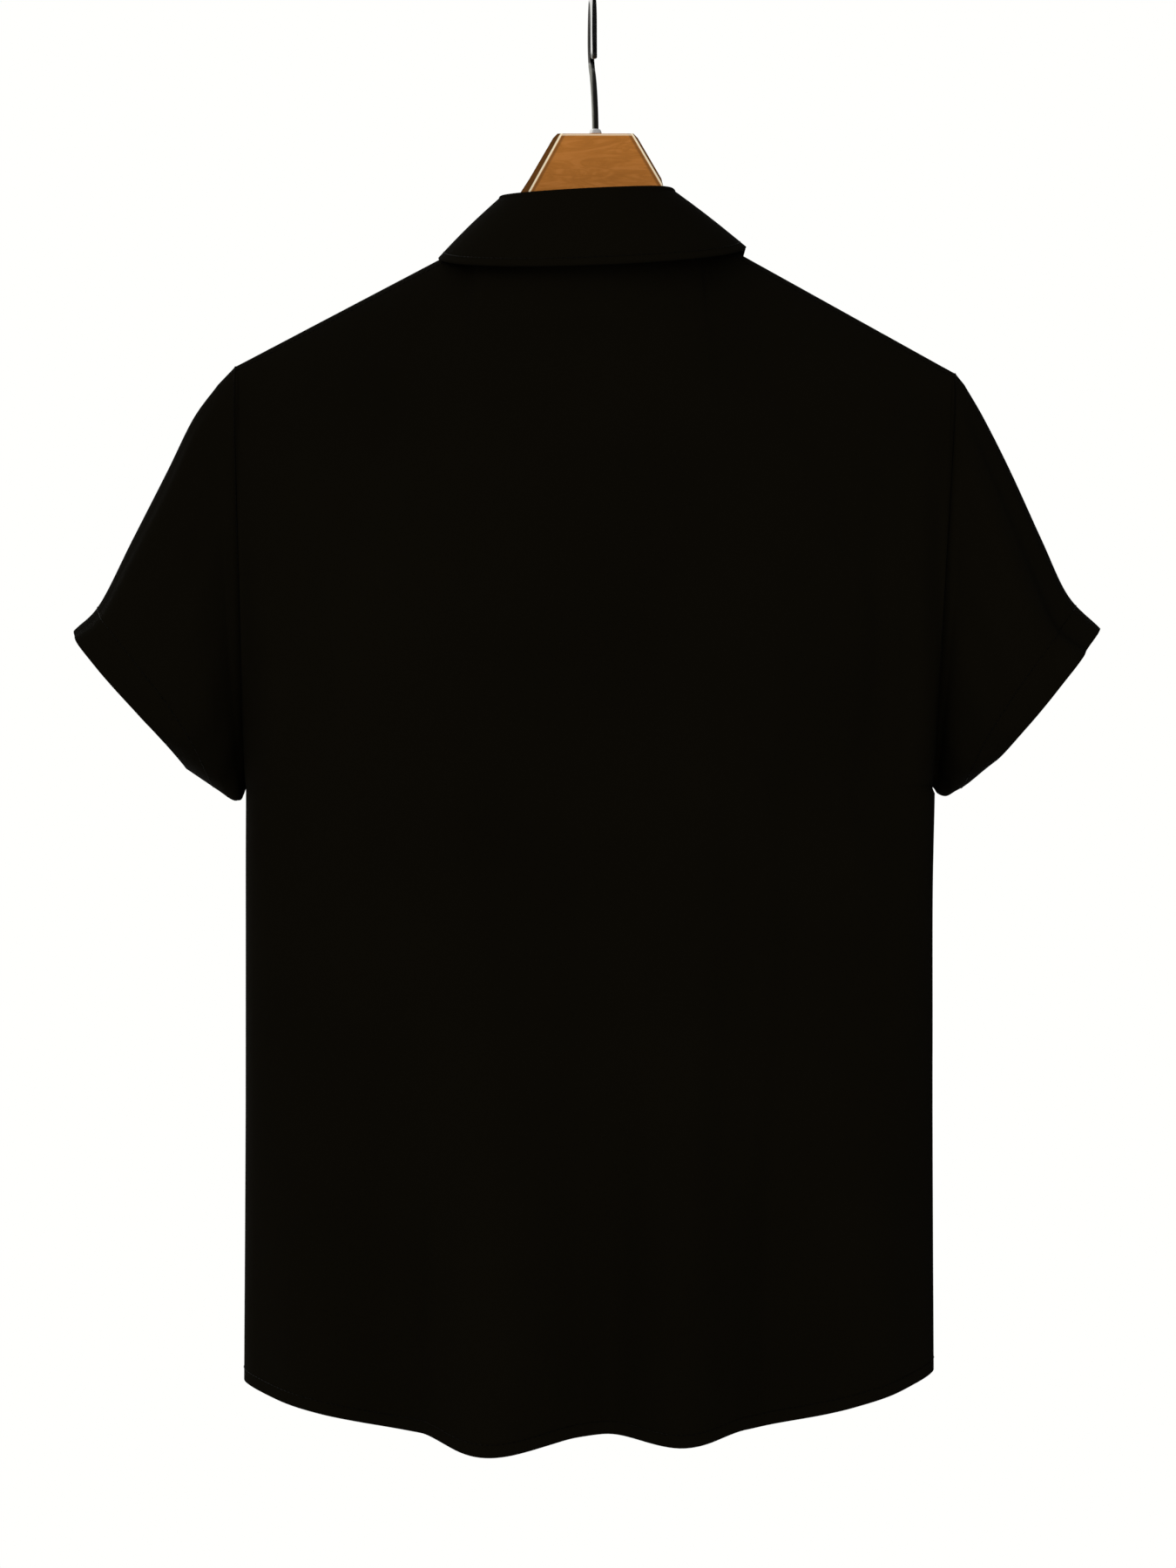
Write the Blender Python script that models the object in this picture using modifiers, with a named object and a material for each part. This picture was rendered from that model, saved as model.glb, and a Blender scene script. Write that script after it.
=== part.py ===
"""A short-sleeve button-down shirt hanging on a wooden hanger.

Metres, +Z up. The origin is the top of the inside of the hook, where a rail carries it.
The wearer would face +Y, so the back of the shirt faces -Y and the wearer's right is +X.
A drop is a distance below the origin, so a height is always minus a drop.
"""

from collections import namedtuple
import math

import bpy
from mathutils import Vector

# Walls and gaps
CLOTH = 0.0012  # shirting, with its seams pressed
COLLAR_CLOTH = 0.0014  # shirting on interlining
SEAM_GAP = 0.0003  # between the nearest edges of two panels
RIDGE_GAP = 0.0013  # half the shoulder seam's, whose two edges lean towards each other inside

# The hanger and its hook
WOOD_DROP = 0.084  # top of the hanger's neck
WOOD_X = 0.002  # the hook leans, so the wood hangs a little to the right of its seat
WIRE = 0.004
HOOK_RADIUS = 0.024  # to the middle of the wire
HOOK_TURN = math.radians(2.2)
HOOK_JOIN = math.radians(60)  # where the shank's bend meets the round of the hook
HOOK_TIP = math.radians(224)
SHANK_DEPTH = 0.026  # of the shank in the wood
FERRULE_HEIGHT = 0.0037
FERRULE_FOOT = 0.0043  # its radius on the wood
FERRULE_SHOULDER = 0.0040
FERRULE_CLEARANCE = 0.0004  # round the wire

# The body of the shirt
BODY_X = -0.0018
ARMPIT_DROP = 0.487
HEM_DROP = 0.851  # at the side seams
HEM_SLOPE = 0.0029  # the left side seam hangs this much lower than that, the right one higher
BACK_TAIL = 0.028  # how far the hem dips between the side seams
FRONT_TAIL = 0.018
TAIL_SQUARENESS = 2.6
BLADE_FULLNESS = 0.006
ARMHOLE_DEPTH = 0.042  # half the armhole's width, front to back
ARMHOLE_SHARPNESS = 8  # how closely that width keeps to the side of a panel
CHEST_SQUARENESS = 2.6  # the body keeps its depth up to the chest, then falls in to its top edge
SHOULDER_FALL = 0.55  # under the shoulder seams it falls in later than under the neck
SIDE_HOLLOW = 0.008  # share by which the sides draw in between armpit and shoulder
HEM_CROWDING = 1.2  # draws the rows together towards the hem
CAP_ROOM = 0.0009  # at the shoulder tip, where the sleeve's cap leans over the seam

# The neck and the collar
STAND_ABOVE_NECKLINE = 0.0010
STAND_BELOW_FOLD = 0.0041
LEAF_BULGE = 0.001
LEAF_POINT_SWING = 0.052
LEAF_POINT_SHARPNESS = 3
LEAF_TURN_IN = 0.0030  # how far the leaf goes on down inside the stand
LEAF_TURN_IN_AT_ENDS = 0.0005
NECK_ACROSS = 0.32  # share of the half panel that the neckline takes

# Buttons
BUTTON_RADIUS = 0.0056
BUTTON_THICKNESS = 0.0026
BUTTON_RIM = 0.0014
BUTTON_DISH = 0.0007
BUTTON_EDGE = 0.0006
STAND_BUTTON_DROP = 0.213
FRONT_BUTTON_DROP = 0.285
BUTTON_SPACING = 0.090
FRONT_BUTTONS = 6

BACK, FRONT = -1, 1
LEFT, RIGHT = -1, 1

Ring = namedtuple("Ring", "name level half_width back_depth front_depth squareness")
BODY_RINGS = (
    Ring("hem", 0.00, 0.2130, 0.086, 0.078, 2.1),
    Ring("waist", 0.45, 0.2122, 0.085, 0.078, 2.4),
    Ring("armpit", 1.00, 0.2120, 0.080, 0.076, 3.2),
)

# Folds that hang from the body, deepest at the hem: depth is outwards, sag lowers the hem.
Fold = namedtuple("Fold", "name side place half_width depth height sag")
HEM_FOLDS = (
    Fold("left side ridge", BACK, -0.170, 0.034, 0.006, 0.20, 0.001),
    Fold("left valley", BACK, -0.124, 0.036, -0.012, 0.26, -0.001),
    Fold("left ridge", BACK, -0.063, 0.050, 0.022, 0.27, 0.008),
    Fold("middle valley", BACK, 0.014, 0.040, -0.011, 0.22, -0.002),
    Fold("right ridge", BACK, 0.060, 0.044, 0.018, 0.33, 0.004),
    Fold("right valley", BACK, 0.119, 0.036, -0.013, 0.30, -0.002),
    Fold("right side ridge", BACK, 0.165, 0.034, 0.008, 0.28, 0.001),
    Fold("front right ridge", FRONT, 0.086, 0.046, 0.014, 0.26, 0.003),
    Fold("front right valley", FRONT, 0.150, 0.036, -0.010, 0.22, -0.001),
    Fold("front left ridge", FRONT, -0.098, 0.050, 0.016, 0.30, 0.004),
    Fold("front left valley", FRONT, -0.160, 0.034, -0.009, 0.24, -0.001),
)

ShoulderTip = namedtuple("ShoulderTip", "x drop")
SHOULDER_TIPS = {LEFT: ShoulderTip(0.2183, 0.2277), RIGHT: ShoulderTip(0.2262, 0.2320)}

# The neckline, the collar's fold and the leaf's free edge: drops at the back, side and front.
# The bend keeps the front of a ring high near the side; the tilt lifts its right side, as a slope.
NeckRing = namedtuple("NeckRing", "name middle_x half_width back_depth front_depth back side front bend tilt")
NECKLINE = NeckRing("neckline", -0.0028, 0.0680, 0.0580, 0.0660, 0.1620, 0.1465, 0.2240, 1.4, 0.040)
COLLAR_FOLD = NeckRing("collar fold", -0.0031, 0.0538, 0.0540, 0.0600, 0.1254, 0.1198, 0.1980, 1.6, 0.060)
LEAF_EDGE = NeckRing("leaf edge", 0.0, 0.0960, 0.0720, 0.0768, 0.1730, 0.1563, 0.2360, 1.6, 0.036)

# Sections of the sleeves outside the armhole, as places from the middle of the body.
# The bow draws the middle of a section back towards the shoulder.
Section = namedtuple("Section", "name top_x top_drop under_x under_drop half_depth bow")
SLEEVE_SECTIONS = {
    LEFT: (
        Section("cap", 0.2298, 0.2385, 0.2142, 0.4930, 0.0440, 0.000),
        Section("upper", 0.2450, 0.2595, 0.2160, 0.4960, 0.0490, 0.000),
        Section("middle", 0.2610, 0.2920, 0.2205, 0.4955, 0.0540, 0.001),
        Section("lower", 0.2827, 0.3350, 0.2275, 0.4915, 0.0570, 0.002),
        Section("hem stitching", 0.3023, 0.3740, 0.2365, 0.4855, 0.0580, 0.003),
        Section("hem", 0.3183, 0.3905, 0.2498, 0.4765, 0.0600, 0.004),
    ),
    RIGHT: (
        Section("cap", 0.2325, 0.2385, 0.2140, 0.4890, 0.0440, 0.000),
        Section("upper", 0.2444, 0.2595, 0.2165, 0.4922, 0.0490, 0.000),
        Section("middle", 0.2605, 0.2920, 0.2215, 0.4935, 0.0540, 0.001),
        Section("lower", 0.2800, 0.3350, 0.2270, 0.4905, 0.0570, 0.002),
        Section("hem stitching", 0.2960, 0.3690, 0.2345, 0.4860, 0.0580, 0.003),
        Section("hem", 0.3162, 0.3895, 0.2465, 0.4755, 0.0600, 0.004),
    ),
}

# Stations of the hanger's wood from its middle out, each a rectangle with cut corners. The neck
# flares a little wider on the left, and its corners are cut wider there too.
Station = namedtuple("Station", "name left_x right_x top bottom half_depth corner_depth left_corner right_corner")
HANGER_STATIONS = (
    Station("middle", 0.0000, 0.0000, 0.0000, 0.0960, 0.0100, 0.0020, 0.0020, 0.0020),
    Station("top corner", 0.0235, 0.0235, 0.0000, 0.0965, 0.0100, 0.0020, 0.0022, 0.0020),
    Station("neck edge", 0.0262, 0.0262, 0.0025, 0.0970, 0.0100, 0.0040, 0.0070, 0.0036),
    Station("neck side", 0.0408, 0.0408, 0.0275, 0.0985, 0.0100, 0.0045, 0.0085, 0.0036),
    Station("neck root", 0.0470, 0.0432, 0.0370, 0.0990, 0.0100, 0.0050, 0.0085, 0.0040),
    Station("hollow", 0.0502, 0.0446, 0.0450, 0.0995, 0.0100, 0.0060, 0.0085, 0.0060),
    Station("arm start", 0.0544, 0.0500, 0.0560, 0.1010, 0.0100, 0.0070, 0.0085, 0.0085),
    Station("arm root", 0.0606, 0.0590, 0.0660, 0.1035, 0.0105, 0.0090, 0.0085, 0.0085),
    Station("arm", 0.1000, 0.1000, 0.0840, 0.1190, 0.0140, 0.0130, 0.0100, 0.0100),
    Station("broad end", 0.1960, 0.1960, 0.1385, 0.1680, 0.0150, 0.0135, 0.0110, 0.0110),
    Station("round", 0.2060, 0.2060, 0.1475, 0.1660, 0.0130, 0.0115, 0.0080, 0.0080),
    Station("end", 0.2110, 0.2110, 0.1530, 0.1620, 0.0080, 0.0070, 0.0040, 0.0040),
)

LOWER_ROWS = 9
UPPER_ROWS = 10
NECK_COLUMNS = 6  # in half a panel; each front reaches one of them past the centre front
SHOULDER_COLUMNS = 9


def between(first, last, share):
    return first + (last - first) * share


def eased(share):
    share = min(max(share, 0.0), 1.0)
    return share * share * (3 - 2 * share)


# ---------------------------------------------------------------- the form of the body


def hump(distance, half_width):
    """1 at the middle of a fold, 0 at its edges."""
    if abs(distance) >= half_width:
        return 0.0
    return math.cos(0.5 * math.pi * distance / half_width) ** 2


def ring_at(level):
    """The body's section at a level from 0, the hem, to 1, the armpits."""
    upper = next(ring for ring in BODY_RINGS[1:] if level <= ring.level)
    lower = BODY_RINGS[BODY_RINGS.index(upper) - 1]
    share = (level - lower.level) / (upper.level - lower.level)
    return Ring("", level, *(between(a, b, share) for a, b in zip(lower[2:], upper[2:])))


def section_point(ring, side, across):
    """x and y on a squared oval: across runs from -1, the left side seam, to 1, the right one."""
    share = math.sin(0.5 * math.pi * across)
    depth = ring.back_depth if side == BACK else ring.front_depth
    bulge = max(0.0, 1 - abs(share) ** ring.squareness) ** (1 / ring.squareness)
    return ring.half_width * share, side * depth * bulge


def lower_point(side, across, level):
    """A point of the body between the hem and the armpits."""
    x, y = section_point(ring_at(level), side, across)
    share = x / BODY_RINGS[0].half_width
    tail = BACK_TAIL if side == BACK else FRONT_TAIL
    hem_drop = HEM_DROP - HEM_SLOPE * share + tail * (1 - abs(share) ** TAIL_SQUARENESS)
    above_hem = level * (HEM_DROP - ARMPIT_DROP)
    out = 0.0
    for fold in HEM_FOLDS:
        if fold.side == side:
            shape = hump(x - fold.place, fold.half_width) * eased(1 - above_hem / fold.height)
            out += fold.depth * shape
            hem_drop += fold.sag * hump(x - fold.place, fold.half_width)
    drop = between(hem_drop, ARMPIT_DROP, level)
    turn = 0.5 * math.pi * across
    return Vector((BODY_X + x + out * math.sin(turn), y + side * out * math.cos(turn), -drop))


def neck_ring_point(ring, side, share):
    """A point of a neck ring: share runs from -1 to 1 across the side's half of the ring."""
    turn = 0.5 * math.pi * share
    depth = ring.back_depth if side == BACK else ring.front_depth
    middle_drop = ring.back if side == BACK else ring.front
    x = ring.half_width * math.sin(turn)
    bend = 1.0 if side == BACK else ring.bend
    drop = between(ring.side, middle_drop, max(math.cos(turn), 0.0) ** bend) - ring.tilt * x
    return Vector((ring.middle_x + x, side * depth * math.cos(turn), -drop))


def top_point(side, across):
    """A point of the neckline or, past the neck, of the shoulder seam."""
    hand = LEFT if across < 0 else RIGHT
    if abs(across) <= NECK_ACROSS:
        return neck_ring_point(NECKLINE, side, across / NECK_ACROSS)
    neck = neck_ring_point(NECKLINE, side, hand)
    tip = SHOULDER_TIPS[hand]
    start = math.sin(0.5 * math.pi * NECK_ACROSS)
    share = (math.sin(0.5 * math.pi * abs(across)) - start) / (1 - start)
    return Vector((between(neck.x, BODY_X + hand * tip.x, share), 0, between(neck.z, -tip.drop, share)))


def upper_point(side, across, level):
    """A point of the body between the armpits, level 0, and the top edge, level 1."""
    low = lower_point(side, across, 1.0)
    top = top_point(side, across)
    on_shoulder = eased(abs(across) / NECK_ACROSS)
    fall = (1 - level**CHEST_SQUARENESS) ** between(1.0, SHOULDER_FALL, on_shoulder)
    spread = 2 * math.sqrt(level * (1 - level))
    depth = between(abs(top.y), abs(low.y), fall)
    depth += ARMHOLE_DEPTH * abs(across) ** ARMHOLE_SHARPNESS * spread
    depth += BLADE_FULLNESS * math.sin(math.pi * level) ** 2 * math.cos(0.5 * math.pi * across)
    x = between(low.x, top.x, level) - BODY_X
    x *= 1 - SIDE_HOLLOW * math.sin(math.pi * level)
    return Vector((BODY_X + x, side * depth, between(low.z, top.z, level)))


def body_point(side, across, row):
    """Rows count from the hem, 0, through the armpits to the top edge."""
    if row <= LOWER_ROWS:
        return lower_point(side, across, (row / LOWER_ROWS) ** HEM_CROWDING)
    turn = math.pi * (row - LOWER_ROWS) / UPPER_ROWS
    return upper_point(side, across, 0.5 - 0.5 * math.cos(turn))


def half_columns():
    """Places across half a panel, from its middle to its side."""
    neck = [NECK_ACROSS * i / NECK_COLUMNS for i in range(NECK_COLUMNS)]
    step = (1 - NECK_ACROSS) / SHOULDER_COLUMNS
    return neck + [NECK_ACROSS + step * i for i in range(SHOULDER_COLUMNS + 1)]


def rows_in_order():
    return range(LOWER_ROWS + UPPER_ROWS + 1)


# ---------------------------------------------------------------- making objects


def clear_scene():
    for obj in list(bpy.data.objects):
        bpy.data.objects.remove(obj, do_unlink=True)


def new_collection(name, is_helper=False):
    collection = bpy.data.collections.new(name)
    bpy.context.scene.collection.children.link(collection)
    collection.hide_render = is_helper
    return collection


def new_material(name, colour, roughness, metallic=0.0):
    material = bpy.data.materials.new(name)
    material.use_nodes = True
    shader = material.node_tree.nodes["Principled BSDF"]
    shader.inputs["Base Color"].default_value = (*colour, 1)
    shader.inputs["Roughness"].default_value = roughness
    shader.inputs["Metallic"].default_value = metallic
    material.diffuse_color = (*colour, 1)
    return material


def mesh_object(name, points, faces, material, collection):
    mesh = bpy.data.meshes.new(name)
    mesh.from_pydata([tuple(point) for point in points], [], faces)
    mesh.materials.append(material)
    obj = bpy.data.objects.new(name, mesh)
    collection.objects.link(obj)
    return obj


def cloth_panel(name, grid, wall, material, collection, is_tube=False):
    """An open sheet through a grid of points, given its wall inwards.

    Seen from outside, the rows run up and the columns run to the right.
    """
    width = len(grid[0])
    points = [point for row in grid for point in row]
    faces = []
    for i in range(len(grid) - 1):
        for j in range(width if is_tube else width - 1):
            after = (j + 1) % width
            faces.append((i * width + j, i * width + after, (i + 1) * width + after, (i + 1) * width + j))
    obj = mesh_object(name, points, faces, material, collection)
    obj.data.shade_smooth()
    solidify = obj.modifiers.new("wall", "SOLIDIFY")
    solidify.thickness = wall
    solidify.offset = -1
    return obj


# ---------------------------------------------------------------- the shirt's pieces


def make_back(material, collection):
    half = half_columns()
    columns = [-across for across in reversed(half[1:])] + half
    grid = []
    for row in rows_in_order():
        points = [body_point(BACK, across, row) for across in columns]
        # The seams with the fronts lie on the middle of the body.
        grid.append([clear_of_seam(point, BACK, row, across) for point, across in zip(points, columns)])
    return cloth_panel("back", grid, CLOTH, material, collection)


def clear_of_seam(point, side, row, across):
    """Draws a side seam or a shoulder seam back from the middle, so that two panels don't touch."""
    is_top = row == LOWER_ROWS + UPPER_ROWS and abs(across) >= NECK_ACROSS
    if is_top:
        return point + Vector((0, side * RIDGE_GAP, 0))
    if abs(across) == 1 and row <= LOWER_ROWS:
        return point + Vector((0, side * SEAM_GAP, 0))
    return point


def make_front(hand, name, material, collection):
    """hand is the side of the wearer. The left front laps over the right one."""
    step = NECK_ACROSS / NECK_COLUMNS
    grid = []
    for row in rows_in_order():
        points = []
        for across in [-step] + half_columns():
            point = clear_of_seam(body_point(FRONT, hand * across, row), FRONT, row, across)
            if hand == RIGHT and across < 1.5 * step:
                point.y -= CLOTH + SEAM_GAP
            points.append(point)
        grid.append(points if hand == LEFT else list(reversed(points)))
    return cloth_panel(name, grid, CLOTH, material, collection)


def armhole_point(hand, turn):
    """The armhole's edge: turn runs from the shoulder seam, 0, over the back to the underarm, pi."""
    side = BACK if math.sin(turn) >= 0 else FRONT
    return upper_point(side, hand, 0.5 + 0.5 * math.cos(turn))


def make_sleeve(hand, name, material, collection):
    count = 2 * UPPER_ROWS
    turns = [2 * math.pi * i / count for i in range(count)]
    grid = []
    first = []
    for turn in turns:
        point = armhole_point(hand, turn)
        at_top = 0.5 + 0.5 * math.cos(turn)
        point.x += hand * (SEAM_GAP + CAP_ROOM * at_top)
        first.append(point)
    grid.append(first)
    for section in SLEEVE_SECTIONS[hand]:
        top = Vector((BODY_X + hand * section.top_x, 0, -section.top_drop))
        under = Vector((BODY_X + hand * section.under_x, 0, -section.under_drop))
        middle = 0.5 * (top + under)
        inwards = Vector((0, hand, 0)).cross((under - top).normalized())
        row = []
        for turn in turns:
            point = middle + (top - middle) * math.cos(turn) + inwards * section.bow * abs(math.sin(turn))
            point.y = -section.half_depth * math.sin(turn)
            row.append(point)
        grid.append(row)
    if hand == LEFT:
        grid = [list(reversed(row)) for row in grid]
    return cloth_panel(name, grid, CLOTH, material, collection, is_tube=True)


def ring_places(reach, ends=0.0):
    """Places round a neck ring in quarters, the back at 0 and the centre front at -2 and 2.

    They match the columns of the body, so that the stand meets the neckline edge to edge.
    """
    count = round(reach * NECK_COLUMNS)
    places = [i / NECK_COLUMNS for i in range(-count, count + 1)]
    return [-reach - ends, *places, reach + ends] if ends else places


def side_and_share(turn):
    """The half of the ring that a place lies in, and its share across that half."""
    if abs(turn) <= 1:
        return BACK, turn
    return FRONT, (2 - abs(turn)) * (1 if turn > 0 else -1)


def ring_normal(side, share):
    turn = 0.5 * math.pi * share
    return Vector((math.sin(turn), side * math.cos(turn), 0))


def make_stand(material, collection):
    """The band from the neckline up into the collar's fold. Its ends lap at the centre front."""
    step = 1 / NECK_COLUMNS
    grid = [[], [], []]
    for turn in ring_places(2 + step):
        side, share = side_and_share(turn)
        low = neck_ring_point(NECKLINE, side, share)
        high = neck_ring_point(COLLAR_FOLD, side, share)
        normal = ring_normal(side, share)
        low.z += STAND_ABOVE_NECKLINE
        high.z -= STAND_BELOW_FOLD
        # The end on the wearer's right lies inside the other one.
        tuck = COLLAR_CLOTH + SEAM_GAP if turn > 2 - 1.5 * step else 0.0
        for row, lift in enumerate((0.0, 0.5, 1.0)):
            grid[row].append(low.lerp(high, lift) - normal * tuck)
    return cloth_panel("collar_stand", grid, COLLAR_CLOTH, material, collection)


def make_leaf(material, collection):
    """The leaf rolls over the top of the stand and falls outside it to its free edge."""
    roll = 1.5 * COLLAR_CLOTH + 2 * SEAM_GAP
    falls = (1.0, 0.75, 0.5, 0.25)
    arc_rows = 4
    up = Vector((0, 0, 1))
    grid = [[] for _ in range(len(falls) + arc_rows + 1)]
    for turn in ring_places(2 - 1 / NECK_COLUMNS, ends=0.5 / NECK_COLUMNS):
        side, share = side_and_share(turn)
        fold = neck_ring_point(COLLAR_FOLD, side, share)
        edge = neck_ring_point(LEAF_EDGE, side, share)
        normal = ring_normal(side, share)
        if side == FRONT:
            # The points swing out to the sides of the opening.
            swing = math.cos(0.5 * math.pi * share) ** LEAF_POINT_SHARPNESS
            edge.x += math.copysign(LEAF_POINT_SWING * swing, share)
        centre = fold - 0.5 * COLLAR_CLOTH * normal - roll * up
        start = centre + normal * roll
        for row, fall in enumerate(falls):
            bulge = (normal + up) * LEAF_BULGE * math.sin(math.pi * fall)
            grid[row].append(start.lerp(edge, fall) + bulge)
        # Near the front, where the stand's ends lap, the leaf only reaches the top of the stand.
        hold = 1 - eased((abs(turn) - 1.5) * NECK_COLUMNS)
        cover = math.radians(between(90, 180, hold))
        for row in range(arc_rows):
            angle = cover * row / (arc_rows - 1)
            grid[len(falls) + row].append(centre + roll * (normal * math.cos(angle) + up * math.sin(angle)))
        inward = up * math.cos(cover) - normal * math.sin(cover)
        grid[-1].append(grid[-2][-1] + inward * between(LEAF_TURN_IN_AT_ENDS, LEAF_TURN_IN, hold))
    return cloth_panel("collar_leaf", grid, COLLAR_CLOTH, material, collection)


def make_button(name, seat, outward, material, collection):
    """A turned disc with a raised rim, its back on the cloth at seat."""
    profile = (
        (0.0, BUTTON_THICKNESS - BUTTON_DISH),
        (BUTTON_RADIUS - 2 * BUTTON_RIM, BUTTON_THICKNESS - BUTTON_DISH),
        (BUTTON_RADIUS - BUTTON_RIM, BUTTON_THICKNESS),
        (BUTTON_RADIUS, BUTTON_THICKNESS - BUTTON_EDGE),
        (BUTTON_RADIUS - BUTTON_EDGE, 0.0),
        (0.0, 0.0),
    )
    mesh = bpy.data.meshes.new(name)
    edges = [(i, i + 1) for i in range(len(profile) - 1)]
    mesh.from_pydata([(x, 0, z) for x, z in profile], edges, [])
    mesh.materials.append(material)
    button = bpy.data.objects.new(name, mesh)
    collection.objects.link(button)
    screw = button.modifiers.new("turn", "SCREW")
    screw.steps = screw.render_steps = 16
    screw.use_merge_vertices = True
    screw.merge_threshold = 0.0001
    button.location = seat + outward * SEAM_GAP
    button.rotation_mode = "QUATERNION"
    button.rotation_quaternion = outward.to_track_quat("Z", "Y")
    return button


def front_surface(drop):
    """The place and the outward direction of the left front at the centre front."""
    rows = rows_in_order()
    points = [body_point(FRONT, 0, row) for row in rows]
    for low, high in zip(points, points[1:]):
        if -high.z <= drop <= -low.z:
            seat = low.lerp(high, (-drop - low.z) / (high.z - low.z))
            rise = (high - low).normalized()
            return seat, Vector((0, rise.z, -rise.y)).normalized()
    raise ValueError("a button lies off the front")


def stand_surface(drop):
    low = neck_ring_point(NECKLINE, FRONT, 0)
    high = neck_ring_point(COLLAR_FOLD, FRONT, 0)
    seat = low.lerp(high, (-drop - low.z) / (high.z - low.z))
    rise = (high - low).normalized()
    return seat, Vector((0, rise.z, -rise.y)).normalized()


def make_buttons(material, collection):
    make_button("button_1", *stand_surface(STAND_BUTTON_DROP), material, collection)
    for i in range(FRONT_BUTTONS):
        seat, outward = front_surface(FRONT_BUTTON_DROP + i * BUTTON_SPACING)
        make_button(f"button_{i + 2}", seat, outward, material, collection)


# ---------------------------------------------------------------- the hanger


def make_hanger_body(material, collection, helpers):
    """Wood from end to end: a loft through the stations and their mirror images."""
    stations = [(-1, station) for station in reversed(HANGER_STATIONS[1:])]
    stations += [(1, station) for station in HANGER_STATIONS]
    points = []
    for hand, station in stations:
        x = WOOD_X - station.left_x if hand < 0 else WOOD_X + station.right_x
        outer, inner = station.half_depth, station.half_depth - station.corner_depth
        top, bottom = -WOOD_DROP - station.top, -WOOD_DROP - station.bottom
        cut = station.left_corner if hand < 0 else station.right_corner
        for y, z in (
            (-inner, top),
            (-outer, top - cut),
            (-outer, bottom + cut),
            (-inner, bottom),
            (inner, bottom),
            (outer, bottom + cut),
            (outer, top - cut),
            (inner, top),
        ):
            points.append((x, y, z))
    sides = 8
    faces = [tuple(range(sides))]
    for i in range(len(stations) - 1):
        for j in range(sides):
            after = (j + 1) % sides
            faces.append((i * sides + j, (i + 1) * sides + j, (i + 1) * sides + after, i * sides + after))
    last = (len(stations) - 1) * sides
    faces.append(tuple(reversed(range(last, last + sides))))
    wood = mesh_object("hanger_body", points, faces, material, collection)
    bore = cylinder_cutter("shank_bore", 0.5 * WIRE + SEAM_GAP, 2 * SHANK_DEPTH + 0.002, helpers)
    bore.location = (WOOD_X, 0, -WOOD_DROP)
    cut = wood.modifiers.new("bore", "BOOLEAN")
    cut.object = bore
    cut.operation = "DIFFERENCE"
    return wood


def cylinder_cutter(name, radius, depth, helpers):
    bpy.ops.mesh.primitive_cylinder_add(vertices=16, radius=radius, depth=depth)
    cutter = bpy.context.object
    cutter.name = name
    for collection in list(cutter.users_collection):
        collection.objects.unlink(cutter)
    helpers.objects.link(cutter)
    cutter.hide_render = True
    cutter.display_type = "WIRE"
    return cutter


def make_ferrule(material, collection):
    """A small domed cup round the foot of the hook."""
    inner = 0.5 * WIRE + FERRULE_CLEARANCE
    profile = (
        (inner, FERRULE_HEIGHT),
        (between(inner, FERRULE_SHOULDER, 0.56), 0.92 * FERRULE_HEIGHT),
        (FERRULE_SHOULDER, 0.43 * FERRULE_HEIGHT),
        (FERRULE_FOOT, 0.0),
        (inner, 0.0),
    )
    mesh = bpy.data.meshes.new("hanger_ferrule")
    edges = [(i, (i + 1) % len(profile)) for i in range(len(profile))]
    mesh.from_pydata([(x, 0, z) for x, z in profile], edges, [])
    mesh.materials.append(material)
    ferrule = bpy.data.objects.new("hanger_ferrule", mesh)
    collection.objects.link(ferrule)
    screw = ferrule.modifiers.new("turn", "SCREW")
    screw.steps = screw.render_steps = 16
    screw.use_merge_vertices = True
    screw.merge_threshold = 0.0001
    ferrule.location = (WOOD_X, 0, -WOOD_DROP + SEAM_GAP)
    return ferrule


def hook_points():
    """Up the shank, out to the far side, over the top and down to the tip."""
    centre_z = 0.5 * WIRE - HOOK_RADIUS
    bend_z = centre_z - 2 * HOOK_RADIUS * math.sin(HOOK_JOIN)
    flat = [(0.0, -WOOD_DROP - SHANK_DEPTH), (0.0, -WOOD_DROP), (0.0, between(-WOOD_DROP, bend_z, 0.6))]
    for i in range(6):
        turn = HOOK_JOIN * i / 6
        flat.append((HOOK_RADIUS * (1 - math.cos(turn)), bend_z + HOOK_RADIUS * math.sin(turn)))
    steps = 22
    for i in range(steps + 1):
        turn = between(-HOOK_JOIN, HOOK_TIP, i / steps)
        flat.append((HOOK_RADIUS * math.cos(turn), centre_z + HOOK_RADIUS * math.sin(turn)))
    points = []
    for out, z in flat:
        lean = WOOD_X * eased((centre_z - z) / (centre_z + WOOD_DROP))
        points.append(Vector((lean - out * math.sin(HOOK_TURN), out * math.cos(HOOK_TURN), z)))
    return points


def make_hook(material, collection):
    curve = bpy.data.curves.new("hanger_hook", "CURVE")
    curve.dimensions = "3D"
    curve.bevel_depth = 0.5 * WIRE
    curve.bevel_resolution = 2
    curve.use_fill_caps = True
    spline = curve.splines.new("POLY")
    points = hook_points()
    spline.points.add(len(points) - 1)
    for place, point in zip(spline.points, points):
        place.co = (*point, 1)
    curve.materials.append(material)
    hook = bpy.data.objects.new("hanger_hook", curve)
    collection.objects.link(hook)
    return hook


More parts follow.
